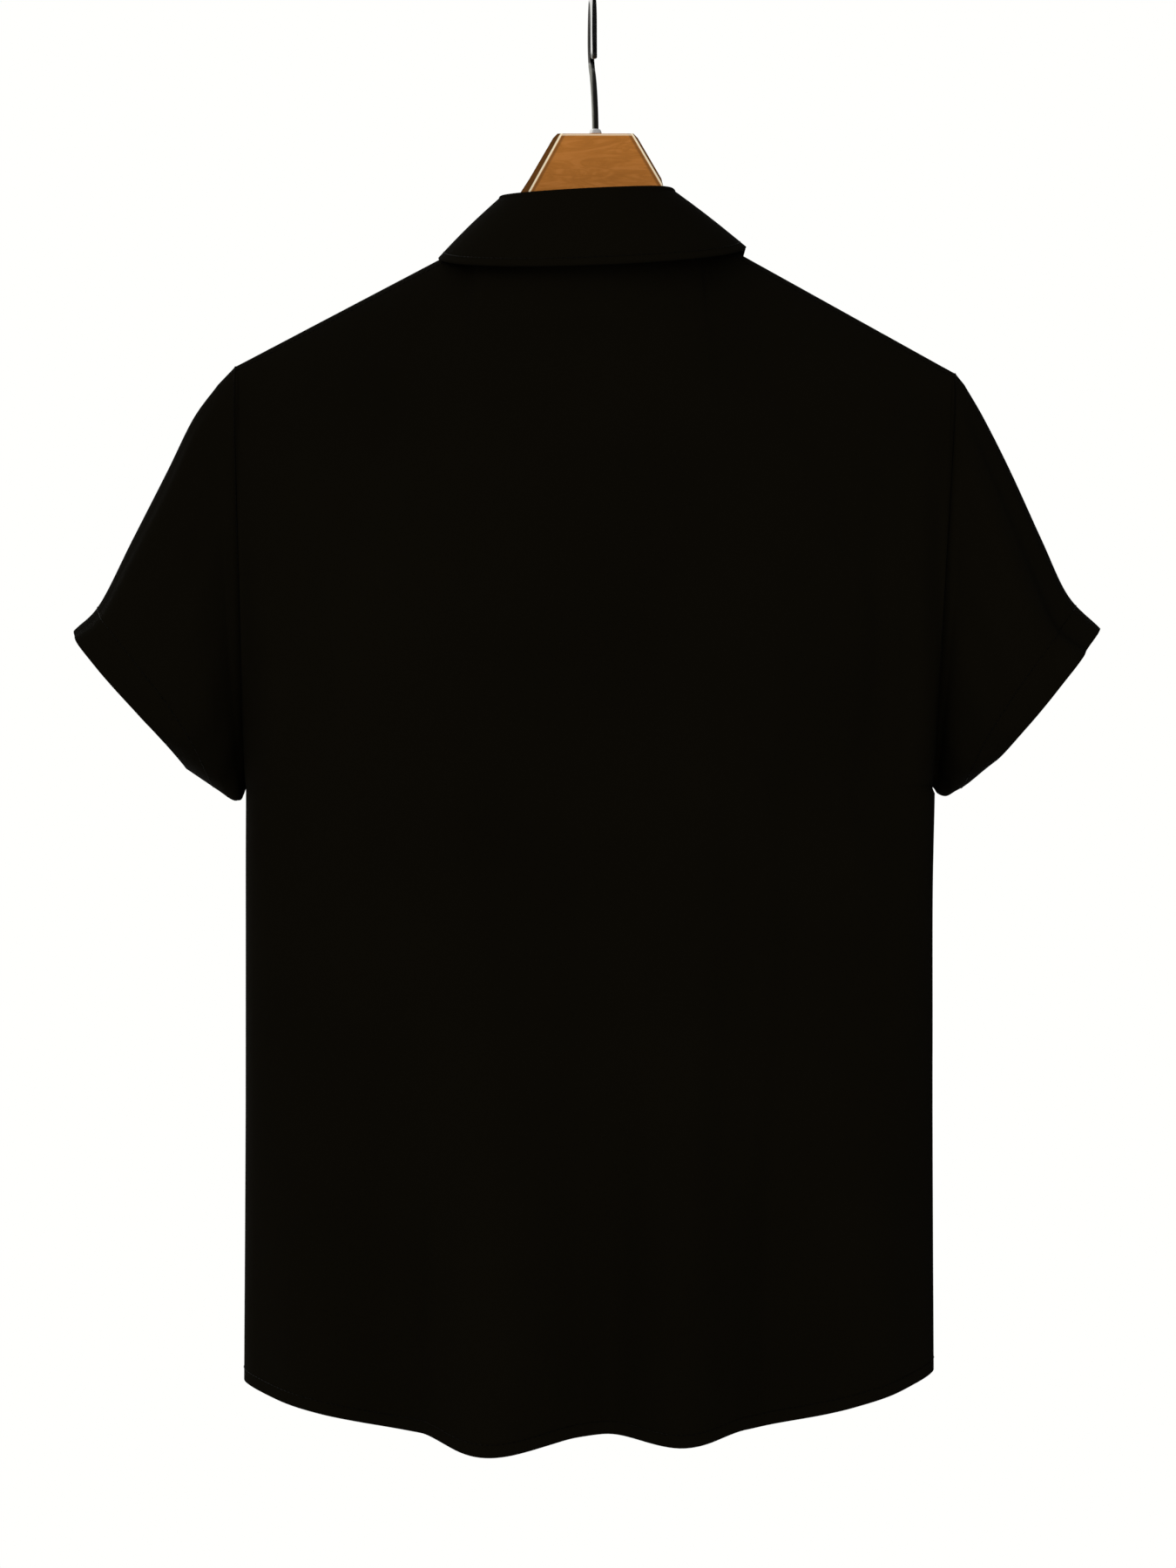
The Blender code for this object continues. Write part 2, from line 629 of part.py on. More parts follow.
def main():
    clear_scene()
    parts = new_collection("short_sleeve_shirt_on_hanger")
    helpers = new_collection("cutters", is_helper=True)
    cloth = new_material("black shirting", (0.0040, 0.0034, 0.0024), 0.85)
    button = new_material("black button", (0.010, 0.010, 0.010), 0.35)
    wood = new_material("varnished wood", (0.33, 0.13, 0.032), 0.35)
    steel = new_material("steel wire", (0.42, 0.42, 0.40), 0.25, 1.0)
    chrome = new_material("bright ferrule", (0.75, 0.75, 0.74), 0.15, 1.0)

    make_back(cloth, parts)
    make_front(LEFT, "left_front", cloth, parts)
    make_front(RIGHT, "right_front", cloth, parts)
    make_sleeve(LEFT, "left_sleeve", cloth, parts)
    make_sleeve(RIGHT, "right_sleeve", cloth, parts)
    make_stand(cloth, parts)
    make_leaf(cloth, parts)
    make_buttons(button, parts)
    make_hanger_body(wood, parts, helpers)
    make_ferrule(chrome, parts)
    make_hook(steel, parts)


main()
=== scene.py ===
"""A black short-sleeve button-down shirt on a wooden hanger, its back to the camera."""

from collections import namedtuple
import math

import bpy
from mathutils import Matrix, Vector
import numpy as np


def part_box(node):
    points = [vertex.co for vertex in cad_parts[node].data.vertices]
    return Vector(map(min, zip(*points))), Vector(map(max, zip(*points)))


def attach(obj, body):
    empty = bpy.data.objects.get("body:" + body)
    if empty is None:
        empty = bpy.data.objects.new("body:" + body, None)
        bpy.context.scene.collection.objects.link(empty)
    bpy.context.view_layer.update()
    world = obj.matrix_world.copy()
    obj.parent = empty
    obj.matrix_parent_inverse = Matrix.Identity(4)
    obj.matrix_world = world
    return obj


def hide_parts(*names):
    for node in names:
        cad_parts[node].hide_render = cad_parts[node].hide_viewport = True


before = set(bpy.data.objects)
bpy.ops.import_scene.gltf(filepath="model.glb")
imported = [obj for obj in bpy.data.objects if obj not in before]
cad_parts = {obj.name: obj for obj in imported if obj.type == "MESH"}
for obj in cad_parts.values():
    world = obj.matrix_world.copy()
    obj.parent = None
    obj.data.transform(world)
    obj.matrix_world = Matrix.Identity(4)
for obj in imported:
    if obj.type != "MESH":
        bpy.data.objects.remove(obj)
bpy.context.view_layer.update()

# ------------------------ the back
# The back is one panel of black plain-woven shirting. It hangs from the neckline and from the two
# shoulder seams, which lie along the hanger, and falls in soft folds to a curved hem. The hem is
# turned up and stitched, and the sides and armholes are seamed to the fronts and the sleeves.

BACK, FRONT = -1, 1
LEFT, RIGHT = -1, 1
cloth_wall = 0.0005
layer = 0.0011  # from the outside of the cloth to the inside of its turned hem
seam_clear = 0.0001  # how far a panel's edge stands off its seam
body_x = -0.0020  # the middle of the hanging body
lower_rows, upper_rows, neck_columns, shoulder_columns = 84, 64, 36, 54
armpit_drop = 0.487
hem_drop = 0.851
hem_slope = 0.0029
hem_tail = {BACK: 0.028, FRONT: 0.018}
tail_squareness = 2.6
blade_fullness = 0.006
armhole_depth = 0.042
waist_draw = 0.008
top_squareness, seam_roundness = 2.6, 0.55
corner_opening, corner_start = 1.2, 0.92  # of the crease that falls from the neck's corner
neck_across = 0.32  # the neckline's share of the way from the middle to the side
unevenness = 0.0003
seam_rise = 0.0007
crease_fade = 0.12  # the share beside a seam over which creases fade out
hem_turn = 0.009
hem_edge_fall = 0.35  # how far a turned edge bulges downwards, in layers
stitch_inset = 0.0015  # from a hem's inner edge to its row of stitches
back_allowance = 0.0013  # from the outside of the cloth to its seam allowance
back_side_reach, armhole_reach = 0.0050, 0.0048  # how far it goes on behind the next panel
reach_change, tip_start, tip_fade = 0.03, 1.9, 0.08  # in the heights that body_rows gives
shoulder_tip = {LEFT: (0.2183, 0.2277), RIGHT: (0.2262, 0.2320)}  # out, and down from the rail
body_rings = (  # height between hem and armpits, half width, depth of back and front, squareness
    (0.00, 0.2136, 0.086, 0.078, 2.1),
    (0.45, 0.2126, 0.085, 0.078, 2.4),
    (1.00, 0.2117, 0.080, 0.076, 3.2),
)
NeckRing = namedtuple(
    "NeckRing",
    "middle_x half_width back_depth front_depth back_drop side_drop front_drop front_bend tilt",
)
neckline = NeckRing(-0.0028, 0.0680, 0.0580, 0.0660, 0.1620, 0.1465, 0.2240, 1.4, 0.040)
hem_folds = {  # place, half width, depth outwards, height above the hem, how far it lowers the hem
    BACK: [
        (-0.170, 0.034, 0.006, 0.20, -0.0014),
        (-0.124, 0.036, -0.012, 0.26, 0.0018),
        (-0.056, 0.050, 0.022, 0.27, 0.0080),
        (0.014, 0.040, -0.011, 0.22, -0.0020),
        (0.053, 0.044, 0.018, 0.33, 0.0042),
        (0.119, 0.036, -0.013, 0.30, 0.0016),
        (0.168, 0.034, 0.008, 0.28, -0.0024),
    ],
}
soft_creases = {  # from x, drop to x, drop, then half width and depth outwards
    BACK: [
        (-0.203, 0.262, -0.190, 0.600, 0.020, 0.0042),
        (-0.172, 0.300, -0.160, 0.560, 0.017, -0.0026),
        (0.207, 0.258, 0.197, 0.660, 0.019, 0.0046),
        (0.178, 0.290, 0.170, 0.520, 0.015, -0.0030),
        (-0.088, 0.186, -0.176, 0.400, 0.016, -0.0022),
        (0.092, 0.190, 0.182, 0.380, 0.018, -0.0026),
        (-0.052, 0.212, 0.046, 0.204, 0.009, -0.0016),
        (-0.070, 0.470, -0.060, 0.800, 0.024, 0.0032),
        (-0.128, 0.420, -0.122, 0.790, 0.020, -0.0024),
        (-0.020, 0.330, 0.006, 0.780, 0.026, -0.0022),
        (0.072, 0.360, 0.058, 0.800, 0.022, 0.0036),
        (0.126, 0.400, 0.118, 0.820, 0.021, -0.0030),
        (0.034, 0.560, 0.030, 0.850, 0.011, 0.0012),
        (-0.096, 0.600, -0.094, 0.850, 0.010, 0.0012),
        (0.150, 0.470, 0.166, 0.560, 0.010, 0.0016),
        (-0.150, 0.500, -0.176, 0.580, 0.009, 0.0014),
    ],
}


def between(first, last, share):
    """The value a share of the way from the first to the last."""
    return first + (last - first) * share


def eased(share):
    """A share from 0 to 1 that starts and ends gently."""
    share = min(max(share, 0.0), 1.0)
    return share * share * (3 - 2 * share)


def hump(distance, half_width):
    """A soft fold's profile: 1 in its middle and 0 from its half width on."""
    if abs(distance) >= half_width:
        return 0.0
    return math.cos(0.5 * math.pi * distance / half_width) ** 2


def crease_depth(side, x, drop):
    """How far the soft creases and the cloth's slight unevenness lift a point outwards."""
    out = unevenness * math.sin(37 * x + 11 * drop + side)
    out += unevenness * math.sin(23 * drop - 61 * x)
    for x1, drop1, x2, drop2, half_width, depth in soft_creases[side]:
        length = math.hypot(x2 - x1, drop2 - drop1)
        along = ((x - x1) * (x2 - x1) + (drop - drop1) * (drop2 - drop1)) / length**2
        if 0 < along < 1:
            apart = ((x - x1) * (drop2 - drop1) - (drop - drop1) * (x2 - x1)) / length
            apart += 0.16 * half_width * math.sin(9 * along + 40 * depth)
            profile = hump(apart, half_width * (0.7 + 0.5 * along))
            out += depth * profile * math.sin(math.pi * along) ** 0.8
    return out


def lower_point(side, across, level, is_creased=True):
    """A point between the hem, level 0, and the armpits, level 1; across is -1 to 1."""
    high = body_rings[1] if level <= body_rings[1][0] else body_rings[2]
    low = body_rings[0] if high is body_rings[1] else body_rings[1]
    share = (level - low[0]) / (high[0] - low[0])
    half_width, back_depth, front_depth, squareness = (
        between(a, b, share) for a, b in zip(low[1:], high[1:])
    )
    reach = math.sin(0.5 * math.pi * across)
    x = half_width * reach
    depth = back_depth if side == BACK else front_depth
    depth *= max(0.0, 1 - abs(reach) ** squareness) ** (1 / squareness)
    share = x / body_rings[0][1]
    tail = hem_tail[side] * (1 - abs(share) ** tail_squareness)
    drop_at_hem = hem_drop - hem_slope * share + tail
    above_hem = level * (hem_drop - armpit_drop)
    out = 0.0
    for place, fold_width, fold_depth, height, sag in hem_folds[side]:
        shape = hump(x - place, fold_width)
        out += fold_depth * shape * eased(1 - above_hem / height)
        drop_at_hem += sag * shape
    drop = between(drop_at_hem, armpit_drop, level)
    if is_creased:
        out += crease_depth(side, x, drop) * eased((1 - abs(across)) / crease_fade)
    turn = 0.5 * math.pi * across
    return Vector((body_x + x + out * math.sin(turn), side * (depth + out * math.cos(turn)), -drop))


def neck_ring_point(ring, side, share):
    """A point of a ring round the neck; share runs from -1 to 1 across its back or its front."""
    if side == BACK:
        depth, middle_drop, bend = ring.back_depth, ring.back_drop, 1.0
    else:
        depth, middle_drop, bend = ring.front_depth, ring.front_drop, ring.front_bend
    turn = 0.5 * math.pi * share
    x = ring.half_width * math.sin(turn)
    drop = between(ring.side_drop, middle_drop, max(math.cos(turn), 0.0) ** bend) - ring.tilt * x
    return Vector((ring.middle_x + x, side * depth * math.cos(turn), -drop))


def top_point(side, across):
    """A point of the neckline or, past the neck, of the shoulder seam."""
    hand = LEFT if across < 0 else RIGHT
    if abs(across) <= neck_across:
        return neck_ring_point(neckline, side, across / neck_across)
    neck = neck_ring_point(neckline, side, hand)
    tip_x, tip_drop = shoulder_tip[hand]
    start = math.sin(0.5 * math.pi * neck_across)
    share = (math.sin(0.5 * math.pi * abs(across)) - start) / (1 - start)
    x = between(neck.x, body_x + hand * tip_x, share)
    z = between(neck.z, -tip_drop, share) + seam_rise * eased(6 * share)
    return Vector((x, 0, z))


def upper_point(side, across, level):
    """A point between the armpits, level 0, and the neckline or shoulder seam, level 1."""
    low = lower_point(side, across, 1.0, is_creased=False)
    top = top_point(side, across)
    top_depth = abs(top.y)
    if side == BACK:
        # Below the collar, the crease that falls from the neck's corner opens out and fades.
        round_neck = math.cos(min(0.5 * math.pi * abs(across) / neck_across, math.pi))
        softness = corner_opening * max(0.0, corner_start - level)
        top_depth = 0.5 * neckline.back_depth * (round_neck + math.hypot(round_neck, softness))
    roundness = between(1.0, seam_roundness, eased(abs(across) / neck_across))
    depth = between(top_depth, abs(low.y), max(0.0, 1 - level**top_squareness) ** roundness)
    at_side = abs(across) ** 8
    depth += armhole_depth * at_side * 2 * math.sqrt(max(0.0, level * (1 - level)))
    depth += blade_fullness * math.sin(math.pi * level) ** 2 * math.cos(0.5 * math.pi * across)
    x = (between(low.x, top.x, level) - body_x) * (1 - waist_draw * math.sin(math.pi * level))
    z = between(low.z, top.z, level)
    crease = crease_depth(side, x, -z) * eased((1 - abs(across)) / crease_fade)
    depth += crease * eased((1 - level) / 0.1)
    return Vector((body_x + x, side * depth, z))


def body_rows():
    """Height of each row: from 0 at the hem to 1 at the armpits and 2 at the top."""
    lower = [(i / lower_rows) ** 1.1 for i in range(lower_rows)]
    upper = [1.5 - 0.5 * math.cos(math.pi * i / upper_rows) for i in range(upper_rows + 1)]
    return lower + upper


def half_columns():
    """Place of each column: from 0 at the middle to 1 at the side."""
    neck = [neck_across * i / neck_columns for i in range(neck_columns)]
    step = (1 - neck_across) / shoulder_columns
    return neck + [neck_across + step * i for i in range(shoulder_columns + 1)]


def body_grid(side, columns):
    """Rows of points from the hem up; a seam's edge stands a hair away from its neighbour."""
    grid = []
    for height in body_rows():
        row = []
        for across in columns:
            if height < 1:
                point = lower_point(side, across, height)
            else:
                point = upper_point(side, across, height - 1)
            if abs(across) == 1 or (height == 2 and abs(across) >= neck_across):
                point.y += side * seam_clear
            row.append(point)
        grid.append(row)
    return np.array(grid)


def outward_of(points, is_tube=False):
    """Outward directions on a grid whose rows run up and, seen from outside, columns run right."""
    if is_tube:
        right = np.roll(points, -1, axis=1) - np.roll(points, 1, axis=1)
    else:
        right = np.gradient(points, axis=1)
    normal = np.cross(right, np.gradient(points, axis=0))
    return normal / np.maximum(np.linalg.norm(normal, axis=2, keepdims=True), 1e-12)


def rows_within(points, width):
    """How many rows of a grid lie within a width of its first row."""
    steps = np.linalg.norm(np.diff(points, axis=0), axis=2).mean(axis=1)
    return int(np.searchsorted(np.cumsum(steps), width)) + 1


def with_turned_hem(points, outward, width, depths=layer):
    """The grid with its lower edge folded inside: the new first rows are the turned-up part."""
    count = rows_within(points, width)
    inner = points[count::-1] - outward[count::-1] * depths
    edge = points[:1] - outward[:1] * 0.5 * depths
    edge[..., 2] -= hem_edge_fall * layer
    return np.concatenate([inner, edge, points])


def seam_allowance(points, outward, column, depth, reach):
    """Two columns beside an edge: its turn to the inside, and the reach under its neighbour."""
    beyond = points[:, column] - points[:, column + (1 if column == 0 else -1)]
    beyond = beyond / np.maximum(np.linalg.norm(beyond, axis=1, keepdims=True), 1e-9)
    turn = points[:, column] - outward[:, column] * depth
    return turn[:, None], (turn + beyond * reach)[:, None]


def reach_behind(below_armpit, at_armhole):
    """How far an allowance goes on behind the next panel in each row; it ends short of the tip."""
    reaches = []
    for height in body_rows():
        reach = between(below_armpit, at_armhole, eased((height - 1.0) / reach_change))
        reaches.append(reach * (1 - eased((height - tip_start) / tip_fade)))
    return np.array(reaches)[:, None]


def with_seam_allowances(points, outward, depth, reach):
    """The grid with its left and right edges turned in and carried on behind the next panels."""
    left_turn, left_reach = seam_allowance(points, outward, 0, depth, reach)
    right_turn, right_reach = seam_allowance(points, outward, -1, depth, reach)
    return np.concatenate([left_reach, left_turn, points, right_turn, right_reach], axis=1)


def add_object(name, data):
    """A new object in the scene, at the origin."""
    obj = bpy.data.objects.new(name, data)
    bpy.context.scene.collection.objects.link(obj)
    return obj


def add_mesh(name, vertices, faces, material):
    """A new smooth-shaded piece."""
    mesh = bpy.data.meshes.new(name)
    mesh.from_pydata(vertices, [], faces)
    mesh.materials.append(material)
    mesh.shade_smooth()
    return add_object(name, mesh)


def stand_for(piece, node):
    """Puts a piece in the place of its CAD node: hides the node and attaches the piece to the root.
    """
    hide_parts(node)
    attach(piece, "root")


def lengths_along(points, axis=0):
    """Distances from the first point of a line, or of each line of a grid."""
    steps = np.linalg.norm(np.diff(points, axis=axis), axis=-1)
    return np.cumsum(np.insert(steps, 0, 0.0, axis=axis), axis=axis)


def cloth_sheet(name, points, wall, material, is_tube=False):
    """A sheet of cloth on a grid of points, with its wall inwards and its lengths as a UV map."""
    rows, columns = points.shape[:2]
    before = np.arange(columns if is_tube else columns - 1)
    after = (before + 1) % columns
    base = (np.arange(rows - 1) * columns)[:, None]
    above = base + columns
    faces = np.stack([base + before, base + after, above + after, above + before], axis=2)
    sheet = add_mesh(name, points.reshape(-1, 3).tolist(), faces.reshape(-1, 4).tolist(), material)
    looped = np.concatenate([points, points[:, :1]], axis=1) if is_tube else points
    u, v = lengths_along(looped, axis=1), lengths_along(points)
    u -= u[:, u.shape[1] // 2][:, None]
    low_u, high_u, low_v, high_v = u[:-1], u[1:], v[:-1], v[1:]
    corner_u = [low_u[:, before], low_u[:, before + 1], high_u[:, before + 1], high_u[:, before]]
    corner_v = [low_v[:, before], low_v[:, after], high_v[:, after], high_v[:, before]]
    corners = np.stack([np.stack(corner_u, axis=2), np.stack(corner_v, axis=2)], axis=3)
    sheet.data.uv_layers.new(name="cloth").data.foreach_set("uv", corners.ravel())
    solidify = sheet.modifiers.new("wall", "SOLIDIFY")
    solidify.thickness = wall
    solidify.offset = -1
    return sheet


class Value:
    """A socket's number in an expression: each operator adds its Math node."""

    def __init__(self, finish, socket):
        self.finish = finish
        self.socket = socket

    def maths(self, operation, *numbers):
        inputs = dict(enumerate(numbers))
        return self.finish.node("ShaderNodeMath", {"operation": operation}, inputs)

    def __add__(self, other):
        return self.maths("ADD", self, other)

    def __radd__(self, other):
        return self.maths("ADD", other, self)

    def __sub__(self, other):
        return self.maths("SUBTRACT", self, other)

    def __rsub__(self, other):
        return self.maths("SUBTRACT", other, self)

    def __mul__(self, other):
        return self.maths("MULTIPLY", self, other)

    def __rmul__(self, other):
        return self.maths("MULTIPLY", other, self)

    def __abs__(self):
        return self.maths("ABSOLUTE", self)

    def sine(self):
        return self.maths("SINE", self)

    def least(self, other):
        return self.maths("MINIMUM", self, other)

    def most(self, other):
        return self.maths("MAXIMUM", self, other)

    def clipped(self, low=0.0, high=1.0):
        return self.least(high).most(low)


class Finish:
    """A material being made up: one shader, and nodes added by type, settings and inputs."""

    def __init__(self, name, **constants):
        self.material = bpy.data.materials.new(name)
        self.material.use_nodes = True
        self.tree = self.material.node_tree
        self.shader = self.tree.nodes["Principled BSDF"]
        for socket, value in constants.items():
            socket = socket.replace("_", " ").title().replace("Ior", "IOR")
            self.shader.inputs[socket].default_value = value

    def node(self, kind, settings=None, inputs=None, output=0):
        """A new node: first its settings, such as a ramp's stops, and then its sockets."""
        node = self.tree.nodes.new(kind)
        for name, value in (settings or {}).items():
            if name == "stops":
                elements = node.color_ramp.elements
                while len(elements) < len(value):
                    elements.new(1.0)
                for element, (place, colour) in zip(elements, value):
                    element.position = place
                    element.color = (*colour, 1)
            else:
                setattr(node, name, value)
        for name, value in (inputs or {}).items():
            self.feed(node.inputs[name], value)
        return Value(self, node.outputs[output])

    def feed(self, socket, value):
        if isinstance(value, Value):
            self.tree.links.new(value.socket, socket)
        else:
            socket.default_value = value

    def set(self, socket, value):
        self.feed(self.shader.inputs[socket], value)

    def colour(self, factor, first, second):
        """The finish's colour runs from the first to the second."""
        self.set("Base Color", self.mix(factor, first, second))

    def place(self, output="Object"):
        return self.node("ShaderNodeTexCoord", output=output)

    def parts(self, vector):
        split = self.node("ShaderNodeSeparateXYZ", inputs={0: vector}).socket.node
        return [Value(self, socket) for socket in split.outputs]

    def stretched(self, *scale):
        """The piece's own place, drawn out along an axis whose scale is small."""
        mapping = {"Vector": self.place(), "Scale": scale}
        return self.node("ShaderNodeMapping", {"vector_type": "POINT"}, mapping)

    def noise(self, vector, scale, detail=2.0, roughness=0.5, distortion=0.0):
        inputs = {"Vector": vector, "Scale": scale, "Detail": detail}
        inputs |= {"Roughness": roughness, "Distortion": distortion}
        return self.node("ShaderNodeTexNoise", inputs=inputs)

    def mix(self, factor, first, second):
        first, second = (c if isinstance(c, Value) else (*c, 1) for c in (first, second))
        inputs = {"Factor": factor, 6: first, 7: second}
        return self.node("ShaderNodeMix", {"data_type": "RGBA"}, inputs, output=2)

    def bump(self, height, distance, strength=1.0):
        inputs = {"Height": height, "Distance": distance, "Strength": strength}
        self.set("Normal", self.node("ShaderNodeBump", inputs=inputs))


thread_pitch = 0.00042
twist_turns = 5200


def shirting_material():
    """Black plain weave: two sets of threads crossing over and under, a little uneven."""
    finish = Finish(
        "black shirting", specular_ior_level=0.006, sheen_weight=0.0015, sheen_roughness=0.5
    )
    uv = finish.place("UV")
    across, along, _ = finish.parts(uv)
    turns = math.pi / thread_pitch
    over = (across * turns).sine() * (along * turns).sine()
    ribs = abs((across * turns).sine()) + abs((along * turns).sine())
    slub = finish.noise(uv, 900.0, detail=3.0)
    wear = finish.noise(finish.place(), 9.0, detail=4.0)
    finish.colour(wear * 0.6 + slub * 0.4, (0.0029, 0.0023, 0.0012), (0.0048, 0.0038, 0.0020))
    finish.set("Roughness", 0.78 + slub * 0.16)
    finish.bump(over * 0.5 + ribs * 0.25 + slub * 0.6, distance=0.00012, strength=0.5)
    return finish.material


shirting = shirting_material()


def thread_material():
    """Twisted polyester thread, as black as the cloth and a little smoother."""
    finish = Finish("black thread", specular_ior_level=0.08)
    x, y, z = finish.parts(finish.place())
    twist = ((x + y + z) * twist_turns).sine() * 0.5 + 0.5
    finish.colour(twist, (0.0020, 0.0017, 0.0012), (0.0052, 0.0044, 0.0032))
    finish.set("Roughness", 0.42 + twist * 0.2)
    finish.bump(twist, distance=0.00006)
    return finish.material


sewing_thread = thread_material()
stitch_length = 0.0026
stitch_gap = 0.0007
stitch_slant = 0.00012
thread_radius = 0.00022
# A share of the stitch's length, and its rise over the cloth in thread radii.
stitch_profile = ((0.0, -0.6), (0.12, 0.45), (0.5, 0.75), (0.88, 0.45), (1.0, -0.6))


def stitch_line(name, points, outward):
    """Short slanting lengths of thread, half sunk in the cloth, end to end along a line."""
    points, outward = np.asarray(points), np.asarray(outward)
    lengths = lengths_along(points)

    def found(values, at):
        return Vector([np.interp(at, lengths, values[:, k]) for k in range(3)])

    count = int(lengths[-1] // (stitch_length + stitch_gap))
    vertices, faces = [], []
    for i in range(count):
        start = (i + 0.1) * lengths[-1] / count
        first = len(vertices)
        for share, rise in stitch_profile:
            at = start + share * stitch_length
            centre, ahead = found(points, at), found(points, at + 0.0005)
            out = found(outward, at).normalized()
            along = (ahead - centre).normalized() if ahead != centre else Vector((0, 0, 1))
            side = along.cross(out).normalized()
            centre += out * thread_radius * rise + side * stitch_slant * (share - 0.5)
            for corner in (side, out, -side, -out):
                vertices.append(tuple(centre + thread_radius * corner))
        last = len(vertices) - 4
        for ring in range(first, last, 4):
            for k in range(4):
                a, b = ring + k, ring + (k + 1) % 4
                faces.append((a, b, b + 4, a + 4))
        faces.append((first + 3, first + 2, first + 1, first))
        faces.append((last, last + 1, last + 2, last + 3))
    line = add_mesh(name, vertices, faces, sewing_thread)
    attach(line, "root")
    return line


def row_at(points, outward, distance):
    """The points and outward directions of a line a distance above a grid's lower edge."""
    lengths = lengths_along(points)
    found = np.empty((2, points.shape[1], 3))
    for values, line in zip((points, outward), found):
        for j, k in np.ndindex(line.shape):
            line[j, k] = np.interp(distance, lengths[:, j], values[:, j, k])
    return found


columns = [-across for across in reversed(half_columns()[1:])] + half_columns()
back_points = body_grid(BACK, columns)
back_outward = outward_of(back_points)
seamed_points = with_seam_allowances(
    back_points, back_outward, back_allowance, reach_behind(back_side_reach, armhole_reach)
)
seamed_outward = np.pad(back_outward, ((0, 0), (2, 2), (0, 0)), mode="edge")
hemmed_points = with_turned_hem(seamed_points, seamed_outward, hem_turn)
back_sheet = cloth_sheet("back_panel", hemmed_points, cloth_wall, shirting)
stand_for(back_sheet, "back")
back_stitches = stitch_line(
    "back_hem_stitches", *row_at(back_points, back_outward, hem_turn - stitch_inset)
)

# ------------------------ the fronts
# Two panels of the same cloth meet the back at the shoulders and sides. Each has its facing cut on
# and turned to the inside at the centre front, held by a row of stitches. The wearer's left front
# laps over the right one, with the buttonholes in its facing.

hem_folds[FRONT] = [
    (0.086, 0.046, 0.014, 0.26, 0.003),
    (0.150, 0.036, -0.010, 0.22, -0.001),
    (-0.098, 0.050, 0.016, 0.30, 0.004),
    (-0.160, 0.034, -0.009, 0.24, -0.001),
]
soft_creases[FRONT] = [
    (-0.204, 0.262, -0.192, 0.590, 0.019, 0.0040),
    (0.206, 0.260, 0.194, 0.640, 0.020, 0.0042),
    (0.176, 0.300, 0.160, 0.540, 0.016, -0.0026),
    (-0.174, 0.290, -0.166, 0.500, 0.015, -0.0024),
    (-0.080, 0.230, -0.164, 0.420, 0.017, -0.0026),
    (0.084, 0.226, 0.172, 0.400, 0.016, -0.0024),
    (-0.106, 0.430, -0.100, 0.800, 0.024, 0.0034),
    (0.094, 0.400, 0.088, 0.790, 0.022, 0.0032),
    (-0.142, 0.440, -0.150, 0.780, 0.018, -0.0026),
    (0.140, 0.460, 0.148, 0.800, 0.019, -0.0028),
    (-0.052, 0.360, -0.058, 0.720, 0.016, -0.0016),
    (0.048, 0.340, 0.052, 0.700, 0.017, -0.0018),
    (-0.150, 0.500, -0.174, 0.570, 0.009, 0.0013),
    (0.152, 0.510, 0.178, 0.590, 0.010, 0.0014),
]
lap_across = neck_across / 6  # how far each front reaches past the centre
lap_columns = 8
lap_clear = 0.0004  # between the two fronts where they lap
facing_columns = 14
facing_width = 0.031
width_row = 40  # the row that the facing's width is measured in
rim_set_back = 0.0004
edge_inset, facing_inset = 0.0035, 0.002  # from an edge to its row of stitches
front_allowance = 0.0009
# Beside the back the front's allowance hardly goes on; round the armhole it lies in the sleeve.
front_side_reach = 0.0004


def lap_lift(hand, across):
    """The right front lies inside the left one where they lap."""
    if hand == LEFT:
        return 0.0
    return -(2 * layer + lap_clear) * eased((2.6 * lap_across - across) / (1.2 * lap_across))


def make_front(name, node, hand):
    """One front, laid out from its edge with the facing, the panel and the seam allowance."""
    lap = [-lap_across * (lap_columns - i) / lap_columns for i in range(lap_columns)]
    places = lap + half_columns()
    grid = body_grid(FRONT, [hand * across for across in places])
    for j, across in enumerate(places):
        grid[:, j, 1] += lap_lift(hand, across)
    step = -hand  # columns run right as seen from outside, so the right front's start at its seam
    grid = grid[:, ::step]
    outward = outward_of(grid)
    from_edge, out = grid[:, ::step], outward[:, ::step]
    lap_width = np.linalg.norm(from_edge[width_row, 0] - from_edge[width_row, lap_columns])
    count = min(facing_columns, round(facing_width / (lap_width / lap_columns)))
    facing = from_edge[:, count::-1] - out[:, count::-1] * layer
    rim = from_edge[:, :1] - out[:, :1] * 0.5 * layer
    rim[..., 0] += hand * rim_set_back
    turn, reach = seam_allowance(
        from_edge, out, -1, front_allowance, reach_behind(front_side_reach, armhole_reach)
    )
    parts = (  # points, outward directions, and how deep inside the hem turns up
        (facing, out[:, count::-1], 1.1 * layer),
        (rim, out[:, :1], 1.6 * layer),
        (from_edge, out, 2.1 * layer),
        (turn, out[:, -1:], layer),
        (reach, out[:, -1:], layer),
    )
    points = np.concatenate([part for part, _, _ in parts], axis=1)[:, ::step]
    directions = np.concatenate([direction for _, direction, _ in parts], axis=1)[:, ::step]
    depths = np.concatenate([np.full(part.shape[1], depth) for part, _, depth in parts])
    hemmed = with_turned_hem(points, directions, hem_turn, depths[None, ::step, None])
    panel = cloth_sheet(name, hemmed, cloth_wall, shirting)
    stand_for(panel, node)
    lines = [stitch_line(f"{node}_hem_stitches", *row_at(grid, outward, hem_turn - stitch_inset))]
    sideways = from_edge.swapaxes(0, 1), out.swapaxes(0, 1)
    for label, distance in (("edge", edge_inset), ("facing", facing_width - facing_inset)):
        lines.append(stitch_line(f"{node}_{label}_stitches", *row_at(*sideways, distance)))


make_front("left_front_panel", "left_front", LEFT)
make_front("right_front_panel", "right_front", RIGHT)

